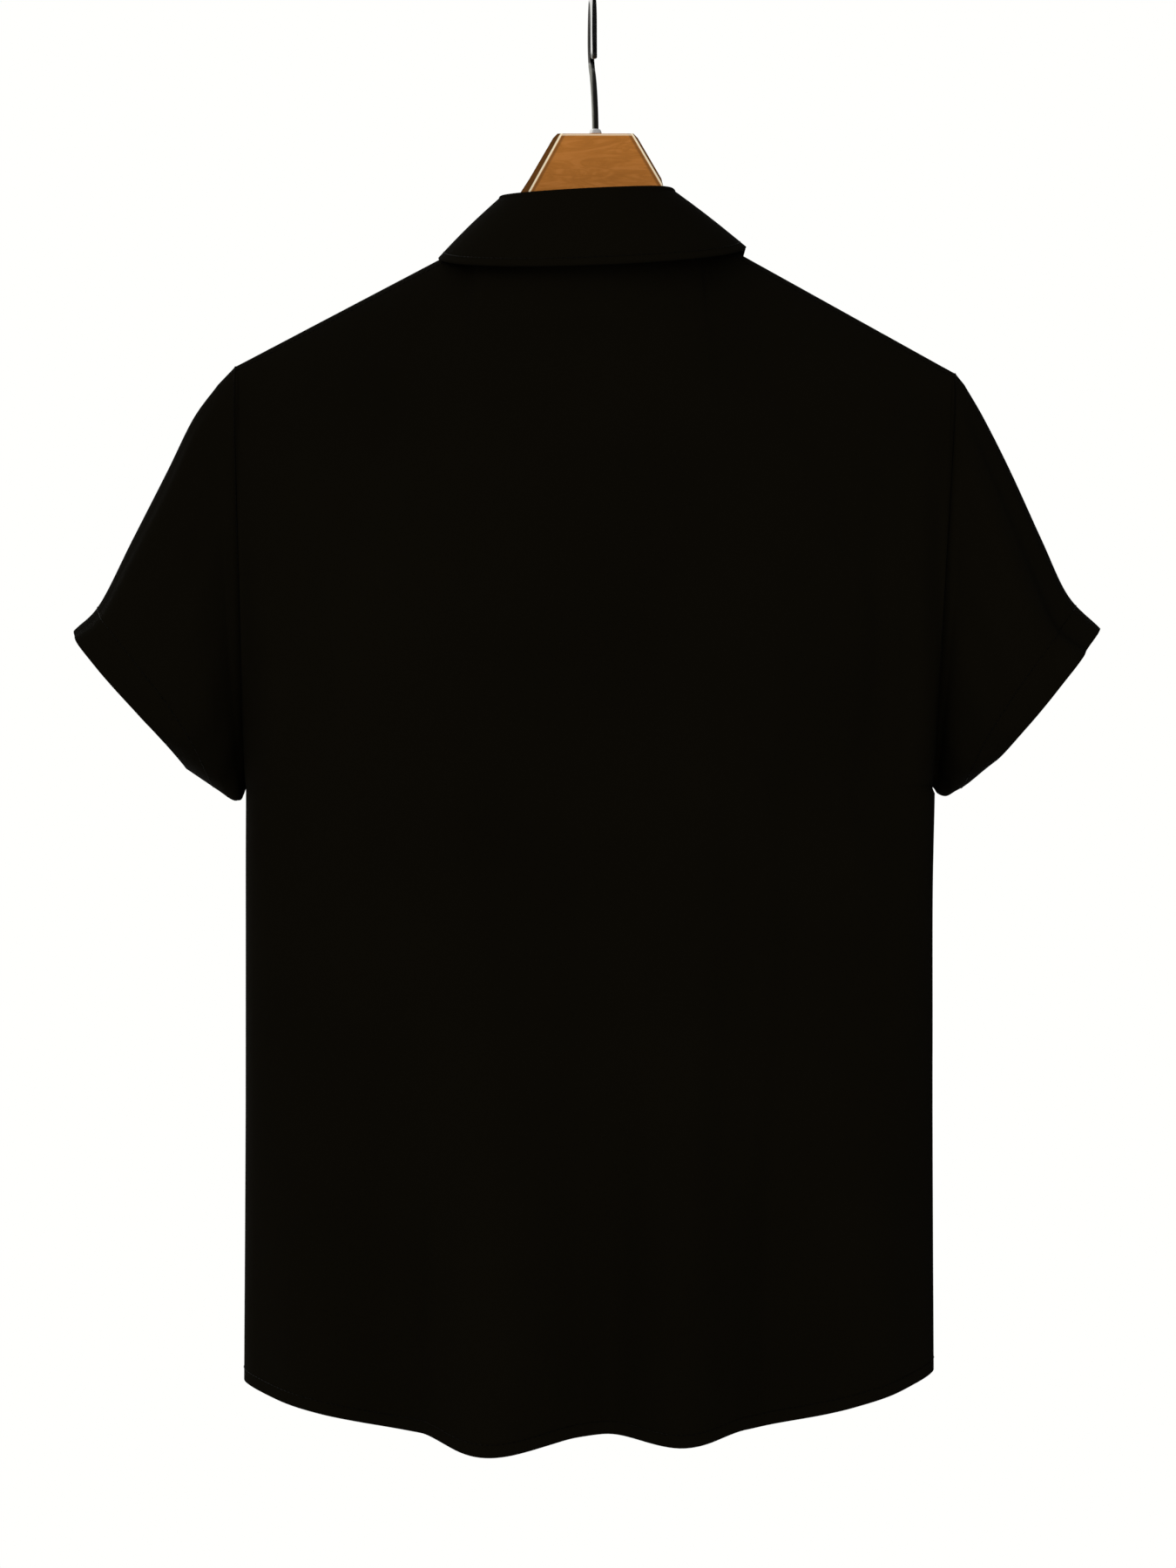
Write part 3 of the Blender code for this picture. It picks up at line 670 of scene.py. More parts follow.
# ------------------------ the shoulder seams
# The fronts are joined to the back by seams that are pressed towards the back and stitched down on
# the right side of the cloth, so one row of stitches runs beside each shoulder seam.

seam_start = neck_across + 0.01
seam_slope = -0.35
beside_seam, below_seam = 0.985, 0.970  # levels of the stitches and of a point just below them

for name, hand in (("left", LEFT), ("right", RIGHT)):
    line, out = [], []
    for across in half_columns():
        if across <= seam_start:
            continue
        point = upper_point(BACK, hand * across, beside_seam)
        up = (point - upper_point(BACK, hand * across, below_seam)).normalized()
        normal = up.cross(Vector((hand, 0, seam_slope)).normalized())
        line.append(point)
        out.append((-normal if normal.y > 0 else normal).normalized())
    stitch_line(f"{name}_shoulder_stitches", line, out)

# ------------------------ the sleeves
# Each short sleeve is one panel sewn into a tube under the arm and set into the armhole. It hangs
# from the hanger's end in one soft fold, and its wide hem is turned up inside and stitched.

# Top x and drop, underarm x and drop, half depth, and how far the middle and the tip draw in.
sleeve_sections = {
    LEFT: (
        (0.2298, 0.2385, 0.2142, 0.4930, 0.0440, 0.0000, 0.0000),
        (0.2450, 0.2595, 0.2160, 0.4960, 0.0490, 0.0000, 0.0000),
        (0.2610, 0.2920, 0.2205, 0.4955, 0.0540, 0.0004, 0.0000),
        (0.2827, 0.3350, 0.2275, 0.4915, 0.0570, 0.0008, -0.0008),
        (0.3023, 0.3740, 0.2365, 0.4855, 0.0580, 0.0010, -0.0018),
        (0.3183, 0.3905, 0.2498, 0.4765, 0.0600, 0.0011, -0.0018),
    ),
    RIGHT: (
        (0.2325, 0.2385, 0.2140, 0.4890, 0.0440, 0.0000, 0.0000),
        (0.2446, 0.2595, 0.2165, 0.4922, 0.0490, 0.0000, 0.0000),
        (0.2609, 0.2920, 0.2215, 0.4935, 0.0540, 0.0004, 0.0000),
        (0.2804, 0.3350, 0.2270, 0.4905, 0.0570, 0.0005, -0.0002),
        (0.2964, 0.3690, 0.2345, 0.4860, 0.0580, 0.0004, -0.0004),
        (0.3164, 0.3895, 0.2465, 0.4755, 0.0600, 0.0002, 0.0004),
    ),
}
# Turn from the top over the back, start and end along the sleeve, half width, depth outwards.
sleeve_creases = {
    LEFT: (
        (0.55, 0.05, 1.00, 0.26, 0.0040),
        (1.15, 0.10, 0.95, 0.30, -0.0034),
        (1.90, 0.20, 1.00, 0.28, 0.0026),
        (2.55, 0.00, 0.60, 0.22, -0.0030),
        (2.85, 0.05, 0.70, 0.16, 0.0020),
        (3.60, 0.00, 0.65, 0.24, -0.0028),
        (4.40, 0.10, 0.95, 0.34, 0.0030),
        (5.20, 0.10, 1.00, 0.30, -0.0030),
        (5.80, 0.05, 0.90, 0.24, 0.0030),
    ),
    RIGHT: (
        (0.50, 0.05, 1.00, 0.24, -0.0046),
        (0.95, 0.08, 1.00, 0.28, 0.0044),
        (1.60, 0.15, 0.95, 0.30, -0.0030),
        (2.30, 0.10, 1.00, 0.26, 0.0024),
        (2.75, 0.00, 0.55, 0.18, -0.0026),
        (3.55, 0.00, 0.60, 0.22, -0.0024),
        (4.30, 0.10, 1.00, 0.32, 0.0032),
        (5.05, 0.12, 0.95, 0.28, -0.0028),
        (5.75, 0.05, 0.90, 0.26, 0.0034),
    ),
}
sleeve_steps = 10  # rows from one section to the next
sleeve_hem = 0.022
sleeve_clear = 0.0003  # a further gap beside the body at the top of the armhole
sleeve_allowance = 0.0009
beside_armhole = 0.4  # the stitches' share of the way to the next row


def smooth_between(values, place):
    """A smooth curve through values at 0, 1, 2, ..., without overshoot at the ends."""
    last_start = len(values) - 2
    i = min(int(place), last_start)
    t = place - i
    first, last = values[i], values[i + 1]
    slope1 = last - first if i == 0 else (last - values[i - 1]) / 2
    slope2 = last - first if i == last_start else (values[i + 2] - first) / 2
    return (
        first * (2 * t**3 - 3 * t**2 + 1)
        + last * (3 * t**2 - 2 * t**3)
        + slope1 * (t**3 - 2 * t**2 + t)
        + slope2 * (t**3 - t**2)
    )


def sleeve_crease_depth(hand, turn, along):
    """How far a sleeve's creases lift a point outwards."""
    out = 0.0
    for centre, begin, end, half_width, depth in sleeve_creases[hand]:
        share = (along - begin) / (end - begin)
        if share > 0:
            fade = math.sin(math.pi * min(share, 0.5))
            if end < 1:
                fade *= math.sin(math.pi * min(max(share, 0.5), 1))
            apart = turn - centre - 0.25 * math.sin(2.2 * along + 30 * depth) * along
            apart = (apart + math.pi) % (2 * math.pi) - math.pi
            out += depth * hump(apart, half_width * (0.8 + 0.5 * along)) * fade
    return out


def sleeve_grid(hand):
    """Rows of points from the armhole out; each runs round from the top over the back."""
    turns = [math.pi * i / upper_rows for i in range(2 * upper_rows)]
    first = []
    for turn in turns:
        level = 0.5 + 0.5 * math.cos(turn)
        point = upper_point(BACK if math.sin(turn) >= 0 else FRONT, hand, level)
        point.x += hand * (2 * seam_clear + sleeve_clear * level)
        first.append(point)
    grid = [first]
    sections = sleeve_sections[hand]
    rows = sleeve_steps * len(sections)
    for r in range(1, rows + 1):
        place = r / sleeve_steps
        section = [smooth_between(values, max(place - 1, 0)) for values in zip(*sections)]
        top_x, top_drop, under_x, under_drop, depth, middle_in, tip_in = section
        top = Vector((body_x + hand * top_x, 0, -top_drop))
        under = Vector((body_x + hand * under_x, 0, -under_drop))
        middle = 0.5 * (top + under)
        inwards = Vector((0, hand, 0)).cross((under - top).normalized())
        row = []
        for turn, start in zip(turns, first):
            drawn = middle_in * abs(math.sin(turn))
            drawn += tip_in * math.sin(2 * (math.pi - abs(math.pi - turn)))
            point = middle + (top - middle) * math.cos(turn) + inwards * drawn
            point.y = -depth * math.sin(turn)
            if place < 1:
                point = start.lerp(point, place)
            around = (point - middle).normalized()
            row.append(point + around * sleeve_crease_depth(hand, turn, r / rows))
        grid.append(row)
    return np.array(grid)


def make_sleeve(name, node, hand):
    """One sleeve; its rows run up from the hem, and its columns right as seen from outside."""
    grid = sleeve_grid(hand)[::-1, ::-hand]
    outward = outward_of(grid, is_tube=True)
    turned_in = grid[-1:] - outward[-1:] * sleeve_allowance
    turned_in[..., 0] -= hand * sleeve_allowance
    points = np.concatenate([with_turned_hem(grid, outward, sleeve_hem), turned_in])
    sleeve = cloth_sheet(name, points, cloth_wall, shirting, is_tube=True)
    stand_for(sleeve, node)
    looped = np.concatenate([grid, grid[:, :1]], axis=1)
    looped_out = np.concatenate([outward, outward[:, :1]], axis=1)
    hem_line = row_at(looped, looped_out, sleeve_hem - stitch_inset)
    armhole_line = looped[-1] + (looped[-2] - looped[-1]) * beside_armhole
    lines = [
        stitch_line(f"{node}_hem_stitches", *hem_line),
        stitch_line(f"{node}_armhole_stitches", armhole_line, looped_out[-2]),
    ]


make_sleeve("left_sleeve_panel", "left_sleeve", LEFT)
make_sleeve("right_sleeve_panel", "right_sleeve", RIGHT)

# ------------------------ the collar stand
# A band of two plies on interlining stands up from the neckline and laps at the throat. The leaf
# is sewn into its upper edge.

collar_fold = NeckRing(-0.0031, 0.0538, 0.0540, 0.0600, 0.1240, 0.1184, 0.1980, 1.6, 0.051)
fold_droop = {LEFT: 0.0004, RIGHT: 0.0024}
collar_wall = 0.0013
collar_steps = 36  # columns from the middle of the back to the side
stand_rows = 12
stand_above_neckline = 0.0006
stand_below_fold = 0.0036
stand_reach = 2 + 1 / 6  # 1 is at the side, 2 at the centre front
tuck_start, tuck_length = 1.66, 0.2  # where the right end goes in under the left one
tuck_clear = 0.0004
stand_stitch_height = 0.0025


def ring_places(reach):
    """Places round the neck: 0 at the back, 1 at the right side and 2 at the centre front."""
    count = round(reach * collar_steps)
    return [i / collar_steps for i in range(-count, count + 1)]


def side_and_share(turn):
    """The back or the front of the neck, and the share of it, for a place round the neck."""
    if abs(turn) <= 1:
        return BACK, turn
    return FRONT, (2 - abs(turn)) * (1 if turn > 0 else -1)


def fold_point(side, share):
    """A point of the collar's fold, which droops a little at the sides of the neck."""
    point = neck_ring_point(collar_fold, side, share)
    point.z -= fold_droop[LEFT if share < 0 else RIGHT] * abs(share) ** 6
    return point


def ring_outward(side, share):
    """The level direction away from the neck."""
    turn = 0.5 * math.pi * share
    return Vector((math.sin(turn), side * math.cos(turn), 0))


stand_grid = [[] for _ in range(stand_rows + 1)]
for turn in ring_places(stand_reach):
    side, share = side_and_share(turn)
    low, high = neck_ring_point(neckline, side, share), fold_point(side, share)
    low.z += stand_above_neckline
    high.z -= stand_below_fold
    tuck = (collar_wall + tuck_clear) * eased((turn - tuck_start) / tuck_length)
    for i, row in enumerate(stand_grid):
        row.append(low.lerp(high, i / stand_rows) - ring_outward(side, share) * tuck)
stand_grid = np.array(stand_grid)
stand_sheet = cloth_sheet("collar_stand_band", stand_grid, collar_wall, shirting)
stand_for(stand_sheet, "collar_stand")
stand_stitches = stitch_line(
    "collar_stand_stitches", *row_at(stand_grid, outward_of(stand_grid), stand_stitch_height)
)

# ------------------------ the collar leaf
# The leaf is two plies on interlining, turned over the stand and pressed flat. A row of stitches
# runs round its free edge and its two points.

leaf_edge = NeckRing(0.0, 0.0960, 0.0720, 0.0768, 0.1730, 0.1563, 0.2360, 1.6, 0.036)
leaf_reach = 2 - 1 / 12
leaf_swing = 0.052  # how far the two points swing apart
leaf_roll, pressed_roll = 0.0027, 0.0016  # the fold's radius at the middle and at the sides
leaf_bulge, leaf_wave = 0.001, 0.0007
leaf_rows, roll_rows = 26, 10
leaf_inset = 0.0007  # the fold's centre, inside the stand's line
leaf_end = 0.0005, 0.0030  # how far the leaf goes on past its roll at the front and the back
leaf_stitch_inset = 0.005
bare_columns = 3  # at each end, without stitches
front_opening = 1.5  # from here to the centre front the leaf isn't held by the stand
leaf_grid = [[] for _ in range(leaf_rows + roll_rows + 2)]
up = Vector((0, 0, 1))
for turn in ring_places(leaf_reach):
    side, share = side_and_share(turn)
    edge = neck_ring_point(leaf_edge, side, share)
    normal = ring_outward(side, share)
    if side == FRONT:
        edge.x += math.copysign(leaf_swing * math.cos(0.5 * math.pi * share) ** 3, share)
    pressed = share**4
    roll = between(leaf_roll, pressed_roll, pressed)
    centre = fold_point(side, share) - leaf_inset * normal - roll * up
    start = centre + normal * roll
    for i in range(leaf_rows):
        fall = 1 - i / leaf_rows
        bulge = (normal + up) * leaf_bulge * (1 - 0.5 * pressed) * math.sin(math.pi * fall)
        wave = normal * (leaf_wave * math.sin(3.1 * turn + 1.0) * fall**2)
        leaf_grid[i].append(start.lerp(edge, fall) + bulge + wave)
    # Past the fold the leaf rolls right over into the stand, but at the front only to its top.
    hold = 1 - eased((abs(turn) - front_opening) * 6)
    cover = math.radians(between(90, 180, hold))
    for i in range(roll_rows + 1):
        angle = cover * i / roll_rows
        rolled = centre + roll * (normal * math.cos(angle) + up * math.sin(angle))
        leaf_grid[leaf_rows + i].append(rolled)
    inward = up * math.cos(cover) - normal * math.sin(cover)
    leaf_grid[-1].append(rolled + inward * between(*leaf_end, hold))
leaf_grid = np.array(leaf_grid)
leaf_sheet = cloth_sheet("collar_leaf_turned", leaf_grid, collar_wall, shirting)
stand_for(leaf_sheet, "collar_leaf")
leaf_line, leaf_line_out = row_at(leaf_grid, outward_of(leaf_grid), leaf_stitch_inset)
leaf_stitches = stitch_line(
    "collar_leaf_stitches",
    leaf_line[bare_columns:-bare_columns],
    leaf_line_out[bare_columns:-bare_columns],
)

# ------------------------ the buttons and buttonholes
# Seven black turned buttons of cast polyester, each with a raised rim and four holes, are sewn to
# the right front and to the stand, and pass through worked buttonholes in the left front.

button_count = 7
button_radius = 0.0056
button_height = 0.0026
rim_width = 0.0013
dish_depth = 0.0006
hole_radius = 0.00075
hole_offset = 0.0013
pass_radius, pass_shift = 0.00018, 0.0002
pass_heights = (0.0006, 0.0018, 0.00225)
buttonhole_length, buttonhole_half_width = 0.0150, 0.0011
buttonhole_stitches = 44
buttonhole_thread = 0.0003
stitch_zigzag = 0.00022
buttonhole_sink = 0.0003


def button_material():
    """Black cast polyester with a soft, slightly uneven polish."""
    finish = Finish("black button", specular_ior_level=0.35)
    cloud = finish.noise(finish.place(), 900.0, detail=3.0)
    finish.colour(cloud, (0.0045, 0.0042, 0.0040), (0.0110, 0.0105, 0.0100))
    finish.set("Roughness", 0.24 + cloud * 0.2)
    finish.bump(cloud, distance=0.00004)
    return finish.material


def select_only(*objects):
    """Selects these objects and makes the first of them active."""
    for obj in bpy.context.selected_objects:
        obj.select_set(False)
    for obj in objects:
        obj.select_set(True)
    if objects:
        bpy.context.view_layer.objects.active = objects[0]


def round_bar(sides, radius, depth, place):
    """An upright cylinder round a place."""
    select_only()
    bpy.ops.mesh.primitive_cylinder_add(vertices=sides, radius=radius, depth=depth, location=place)
    bpy.ops.object.transform_apply(location=True, rotation=True, scale=True)
    return bpy.context.object


def modify(piece, kind, **settings):
    """Applies a modifier with these settings to a piece."""
    select_only(piece)
    modifier = piece.modifiers.new("change", kind)
    for name, value in settings.items():
        setattr(modifier, name, value)
    bpy.ops.object.modifier_apply(modifier="change")


def round_edges(piece, width, segments, angle):
    """Rounds the edges where a piece turns by more than an angle in degrees."""
    limit = {"limit_method": "ANGLE", "angle_limit": math.radians(angle)}
    modify(piece, "BEVEL", width=width, segments=segments, **limit)


def bore(piece, sides, radius, depth, place):
    """Drills an upright hole through a piece."""
    drill = round_bar(sides, radius, depth, place)
    modify(piece, "BOOLEAN", operation="DIFFERENCE", object=drill)
    bpy.data.objects.remove(drill)


def finish_off(piece, material, smooth_angle):
    """Smooths a piece up to an angle in degrees and gives it its only material."""
    select_only(piece)
    bpy.ops.object.shade_smooth_by_angle(angle=math.radians(smooth_angle))
    piece.data.materials.clear()
    piece.data.materials.append(material)


def make_button(material):
    """A disc with a dished middle, a rounded rim and four holes, standing on the origin."""
    button = round_bar(
        sides=48, radius=button_radius, depth=button_height, place=(0, 0, button_height / 2)
    )
    bpy.ops.object.mode_set(mode="EDIT")
    bpy.ops.mesh.select_mode(type="FACE")
    bpy.ops.mesh.select_all(action="DESELECT")
    bpy.ops.object.mode_set(mode="OBJECT")
    for face in button.data.polygons:
        face.select = face.normal.z > 0.9
    bpy.ops.object.mode_set(mode="EDIT")
    bpy.ops.mesh.inset(thickness=rim_width, depth=0)
    bpy.ops.mesh.inset(thickness=dish_depth, depth=-dish_depth)
    bpy.ops.object.mode_set(mode="OBJECT")
    round_edges(button, width=0.0004, segments=3, angle=50)
    for x in (-hole_offset, hole_offset):
        for y in (-hole_offset, hole_offset):
            bore(button, sides=16, radius=hole_radius, depth=4 * button_height, place=(x, y, 0))
    finish_off(button, material, smooth_angle=35)
    return button


def round_thread(name, points, radius, material, sides, is_loop=False):
    """A round thread or wire through points, closed at its ends or into a loop."""
    points = [Vector(point) for point in points]
    rings = len(points)
    vertices, faces = [], []
    side = None
    for i, point in enumerate(points):
        before = points[i - 1] if i or is_loop else point
        after = points[(i + 1) % rings] if i + 1 < rings or is_loop else point
        along = (after - before).normalized()
        if side is None:
            side = along.orthogonal().normalized()
        side = (side - along * side.dot(along)).normalized()
        across = along.cross(side)
        for k in range(sides):
            turn = 2 * math.pi * k / sides
            out = side * math.cos(turn) + across * math.sin(turn)
            vertices.append(tuple(point + radius * out))
    for i in range(rings if is_loop else rings - 1):
        ring, next_ring = i * sides, (i + 1) % rings * sides
        for k in range(sides):
            next_k = (k + 1) % sides
            faces.append((ring + k, ring + next_k, next_ring + next_k, next_ring + k))
    if not is_loop:
        faces.append(tuple(range(sides - 1, -1, -1)))
        faces.append(tuple(range((rings - 1) * sides, rings * sides)))
    return add_mesh(name, vertices, faces, material)


def crossing_threads(name):
    """Two parallel passes of thread from hole to hole, lying in the button's dish."""
    threads = []
    low, middle, high = pass_heights
    for x in (-hole_offset, hole_offset):
        for shift in (-pass_shift, pass_shift):
            path = [(x + shift, -hole_offset, z) for z in (low, middle)]
            path += [(x + shift * 1.2, hole_offset * t, high) for t in (-0.7, 0.0, 0.7)]
            path += [(x + shift, hole_offset, z) for z in (middle, low)]
            threads.append(round_thread(name, path, pass_radius, sewing_thread, sides=6))
    return threads


def make_buttonhole(name):
    """A slit edged with close slanting stitches, lying along Y on the origin."""
    path = []
    for i in range(buttonhole_stitches):
        turn = 2 * math.pi * i / buttonhole_stitches
        wide = buttonhole_half_width + (stitch_zigzag if i % 2 else -stitch_zigzag)
        x = wide * max(-1.0, min(1.0, 1.6 * math.cos(turn)))
        y = (0.5 * buttonhole_length) * max(-1.0, min(1.0, 1.05 * math.sin(turn)))
        path.append((x, y, 0.0001 if i % 2 else 0.00022))
    return round_thread(name, path, buttonhole_thread, sewing_thread, sides=6, is_loop=True)


def copy_of(pattern, name):
    """A copy of a piece, with a mesh of its own."""
    copied = pattern.copy()
    copied.data = pattern.data.copy()
    copied.name = name
    bpy.context.scene.collection.objects.link(copied)
    return copied


def button_seat(node):
    """The middle of a CAD button's underside, and its axis, the thinnest way through the disc."""
    points = np.array([v.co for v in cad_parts[node].data.vertices])
    middle = points.mean(axis=0)
    axis = Vector(np.linalg.eigh(np.cov((points - middle).T))[1][:, 0])
    if axis.y < 0:
        axis = -axis
    lowest = (points @ np.array(axis)).min()
    return Vector(middle) + axis * (float(lowest) - float(middle @ np.array(axis))), axis


button_pattern = make_button(button_material())
select_only(button_pattern, *crossing_threads("crossing"))
bpy.ops.object.join()
button_pattern.name = button_pattern.data.name = "button_pattern"
buttonhole_pattern = make_buttonhole("buttonhole_pattern")
for k in range(1, button_count + 1):
    seat, axis = button_seat(f"button_{k}")
    upright = (Vector((0, 0, 1)) - axis * axis.z).normalized()
    turn_in = Matrix((upright.cross(axis), upright, axis)).transposed().to_4x4()
    slant = Matrix.Rotation(math.radians(7 * math.sin(5 * k)), 4, "Z")
    button = copy_of(button_pattern, f"sewn_button_{k}")
    button.data.transform(Matrix.Translation(seat) @ turn_in @ slant)
    stand_for(button, f"button_{k}")
    # The top buttonhole, in the stand, lies across; the others run down the front.
    lie = Matrix.Rotation(math.radians(90 if k == 1 else 0), 4, "Z")
    buttonhole = copy_of(buttonhole_pattern, f"buttonhole_{k}")
    sink = Matrix.Translation(seat - axis * buttonhole_sink)
    buttonhole.data.transform(sink @ turn_in @ lie)
    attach(buttonhole, "root")
bpy.data.objects.remove(button_pattern)
bpy.data.objects.remove(buttonhole_pattern)

# ------------------------ the hanger's wood
# One shaped piece of beech, stained warm brown and varnished. Its neck is a flat-faced wedge with
# chamfered sides, and its arms broaden towards rounded ends that fill the shoulders.

wood_low, wood_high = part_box("hanger_body")
wood_x = 0.5 * (wood_low.x + wood_high.x)
wood_top = wood_high.z
# Out at the top, and out per unit of drop.
neck_edges = {LEFT: (0.0210, 0.551), RIGHT: (0.0226, 0.584)}
neck_height = 0.042
highlight_half_width = 0.0009  # half the width of the painted highlight along an edge
face_depth = 0.0070  # from the hanger's middle to where its faces begin, whose edges get a painted highlight


def band(distance, half_width):
    """1 on a line, falling to 0 at a half width from it."""
    return (1.0 - abs(distance) * (1 / half_width)).most(0.0)


def wood_material():
    """Warm brown stain over swirling grain; painted shade at the neck's sides, painted highlights
    at its edges.
    """
    finish = Finish("varnished wood", specular_ior_level=0.0, coat_roughness=0.2)
    x, y, z = finish.parts(finish.place())
    lengthwise = finish.stretched(0.22, 1.0, 1.0)
    swirl = finish.noise(lengthwise, 120.0, detail=3.0, roughness=0.55, distortion=2.2)
    cloud = finish.noise(lengthwise, 46.0, distortion=1.4)
    pores = finish.noise(finish.stretched(0.08, 1.0, 1.0), 1500.0)
    grain = abs((swirl - 0.5) * 7.0).least(1.0)
    shade = (grain * 0.4 + cloud * 0.6 + (pores - 0.5) * 0.25).clipped()
    stains = (
        (0.0, (0.365, 0.128, 0.020)),
        (0.45, (0.46, 0.165, 0.028)),
        (0.8, (0.53, 0.196, 0.040)),
    )
    stain_and_shade = finish.node("ShaderNodeValToRGB", {"stops": stains}, {0: shade})

    # The neck's two edges slope outwards from its top.
    out, down = abs(x - wood_x), wood_top - z
    is_right = ((x - wood_x) * 1000.0).clipped()
    (left_out, left_slope), (right_out, right_slope) = neck_edges[LEFT], neck_edges[RIGHT]
    wider = right_out - left_out + down * (right_slope - left_slope)
    edge = left_out + down * left_slope + is_right * wider
    in_neck = ((neck_height - down) * 400.0).clipped()
    # Painted shade: the neck's chamfered sides are darkened to deep brown, and a band on the face
    # just inside each edge to darker brown.
    on_side = ((out - edge) * 2400.0).clipped() * in_neck
    shade_beside_edge = band(edge - out - 0.0021, 0.0016) * in_neck
    stain_and_shade = finish.mix(shade_beside_edge * 0.75, stain_and_shade, (0.17, 0.065, 0.015))
    stain_and_shade = finish.mix(on_side * (0.78 + cloud * 0.2), stain_and_shade, (0.075, 0.030, 0.0085))

    # Painted highlights: pale cream lines along the neck's slanting edges and, fainter, its top
    # edge, only on the front and back faces.
    on_face = ((abs(y) - face_depth) * 700.0).clipped()
    highlight_along_side = band(out - edge + 0.0002, highlight_half_width) * in_neck
    highlight_along_top = band(down - highlight_half_width, highlight_half_width) * (1.0 - on_side)
    edge_highlights = highlight_along_side.most(highlight_along_top * 0.4) * 2.2
    painted_highlight = (edge_highlights * on_face * (0.75 + cloud * 0.4)).least(1.0)
    finish.colour(painted_highlight, stain_and_shade, (1.0, 0.83, 0.56))
    finish.set("Roughness", 0.30 + pores * 0.18)
    finish.set("Coat Weight", 0.25 - on_side * 0.245)
    finish.bump(pores * 0.4 + grain * 0.3, distance=0.0001)
    return finish.material


wood = copy_of(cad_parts["hanger_body"], "hanger_wood")
for key in list(wood.keys()):
    del wood[key]
wood.parent = None
select_only(wood)
bpy.ops.object.mode_set(mode="EDIT")
bpy.ops.mesh.select_all(action="SELECT")
bpy.ops.mesh.remove_doubles(threshold=0.00001)
bpy.ops.mesh.tris_convert_to_quads(
    face_threshold=math.radians(20), shape_threshold=math.radians(40)
)
bpy.ops.object.mode_set(mode="OBJECT")
round_edges(wood, width=0.0011, segments=3, angle=28)
finish_off(wood, wood_material(), smooth_angle=50)
stand_for(wood, "hanger_body")

# ------------------------ the hook
# Drawn and plated steel wire goes down into the wood. It bends out to the shirt's front, where its
# colour is darkened to near black as painted shade, and turns over and round to a cut tip.

wire_radius = 0.002
hook_radius = 0.024
hook_centre_z = wire_radius - hook_radius
hook_turn = math.radians(2.2)
hook_join, hook_tip = math.radians(60), math.radians(224)
shank_below_wood_top = 0.026
wire_dull_below = -0.038
# Painted shade darkens the metal from here towards the shirt's front.
shade_from_y = 0.004


def metal_material(name, dull, bright, roughness, dull_below, metallic=1.0):
    """Plated steel with faint drawing marks, duller below a height, with painted shade at its
    front.
    """
    finish = Finish(name, metallic=metallic)
    _, y, z = finish.parts(finish.place())
    lines = finish.noise(finish.stretched(1.0, 1.0, 0.04), 5200.0)
    smear = finish.noise(finish.place(), 130.0, detail=3.0)
    above = ((z - dull_below) * 400.0).clipped()
    plating = finish.mix((above * 0.85 + smear * 0.3).least(1.0), dull, bright)
    # Painted shade: towards the shirt's front, above the dull part, the colour is darkened to near
    # black.
    painted_front_shade = ((y - shade_from_y) * 300.0).clipped() * above
    finish.colour(painted_front_shade * 0.92, plating, (0.020, 0.016, 0.012))
    finish.set("Roughness", roughness + lines * 0.06 + smear * 0.06 + (1 - above) * 0.28)
    finish.bump(lines, distance=0.00001)
    return finish.material


def hook_path():
    """Up the shank, out to the front, over the top and down to the tip."""
    bend_z = hook_centre_z - 2 * hook_radius * math.sin(hook_join)
    shank_z = wood_top - shank_below_wood_top
    flat = [(0.0, between(shank_z, bend_z, i / 24)) for i in range(24)]
    for i in range(20):
        turn = hook_join * i / 20
        flat.append((hook_radius * (1 - math.cos(turn)), bend_z + hook_radius * math.sin(turn)))
    for i in range(101):
        turn = between(-hook_join, hook_tip, i / 100)
        flat.append((hook_radius * math.cos(turn), hook_centre_z + hook_radius * math.sin(turn)))
    path = []
    for out, z in flat:
        lean = wood_x * eased((hook_centre_z - z) / (hook_centre_z - wood_top))
        path.append((lean - out * math.sin(hook_turn), out * math.cos(hook_turn), z))
    return path


wire = metal_material(
    "drawn steel wire",
    dull=(0.15, 0.15, 0.12),
    bright=(0.72, 0.72, 0.70),
    roughness=0.06,
    dull_below=wire_dull_below,
)
hook = round_thread("hook_wire", hook_path(), wire_radius, wire, sides=24)
round_edges(hook, width=0.0004, segments=2, angle=60)
stand_for(hook, "hanger_hook")

# ------------------------ the ferrule
# A small bright cap, pressed from nickel-plated steel, sits in the top of the wood and closes the
# hole round the hook's shank.

ferrule_radius, ferrule_top_radius, ferrule_inner = 0.0042, 0.0032, 0.0023
ferrule_low, ferrule_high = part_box("hanger_ferrule")
ferrule_middle = (wood_x, 0, 0.5 * (ferrule_low.z + ferrule_high.z))
ferrule = round_bar(
    sides=48, radius=ferrule_radius, depth=ferrule_high.z - ferrule_low.z, place=ferrule_middle
)
ferrule.name = "plated_ferrule"
for vertex in ferrule.data.vertices:
    if vertex.co.z > ferrule_high.z - 0.0001:
        vertex.co.x = between(wood_x, vertex.co.x, ferrule_top_radius / ferrule_radius)
        vertex.co.y *= ferrule_top_radius / ferrule_radius
round_edges(ferrule, width=0.0013, segments=5, angle=40)
bore(ferrule, sides=32, radius=ferrule_inner, depth=0.02, place=(wood_x, 0, ferrule_low.z))
never_dull = -1.0  # a height below the whole shirt
nickel = metal_material(
    "nickel plate",
    dull=(0.66, 0.65, 0.62),
    bright=(0.90, 0.89, 0.86),
    roughness=0.30,
    dull_below=never_dull,
    metallic=0.55,
)
finish_off(ferrule, nickel, smooth_angle=40)
stand_for(ferrule, "hanger_ferrule")

# ------------------------ the room and the camera
# The shirt hangs free in a white room, well above a pale floor, in plain soft light that comes
# mostly from the upper left of the shirt's back.

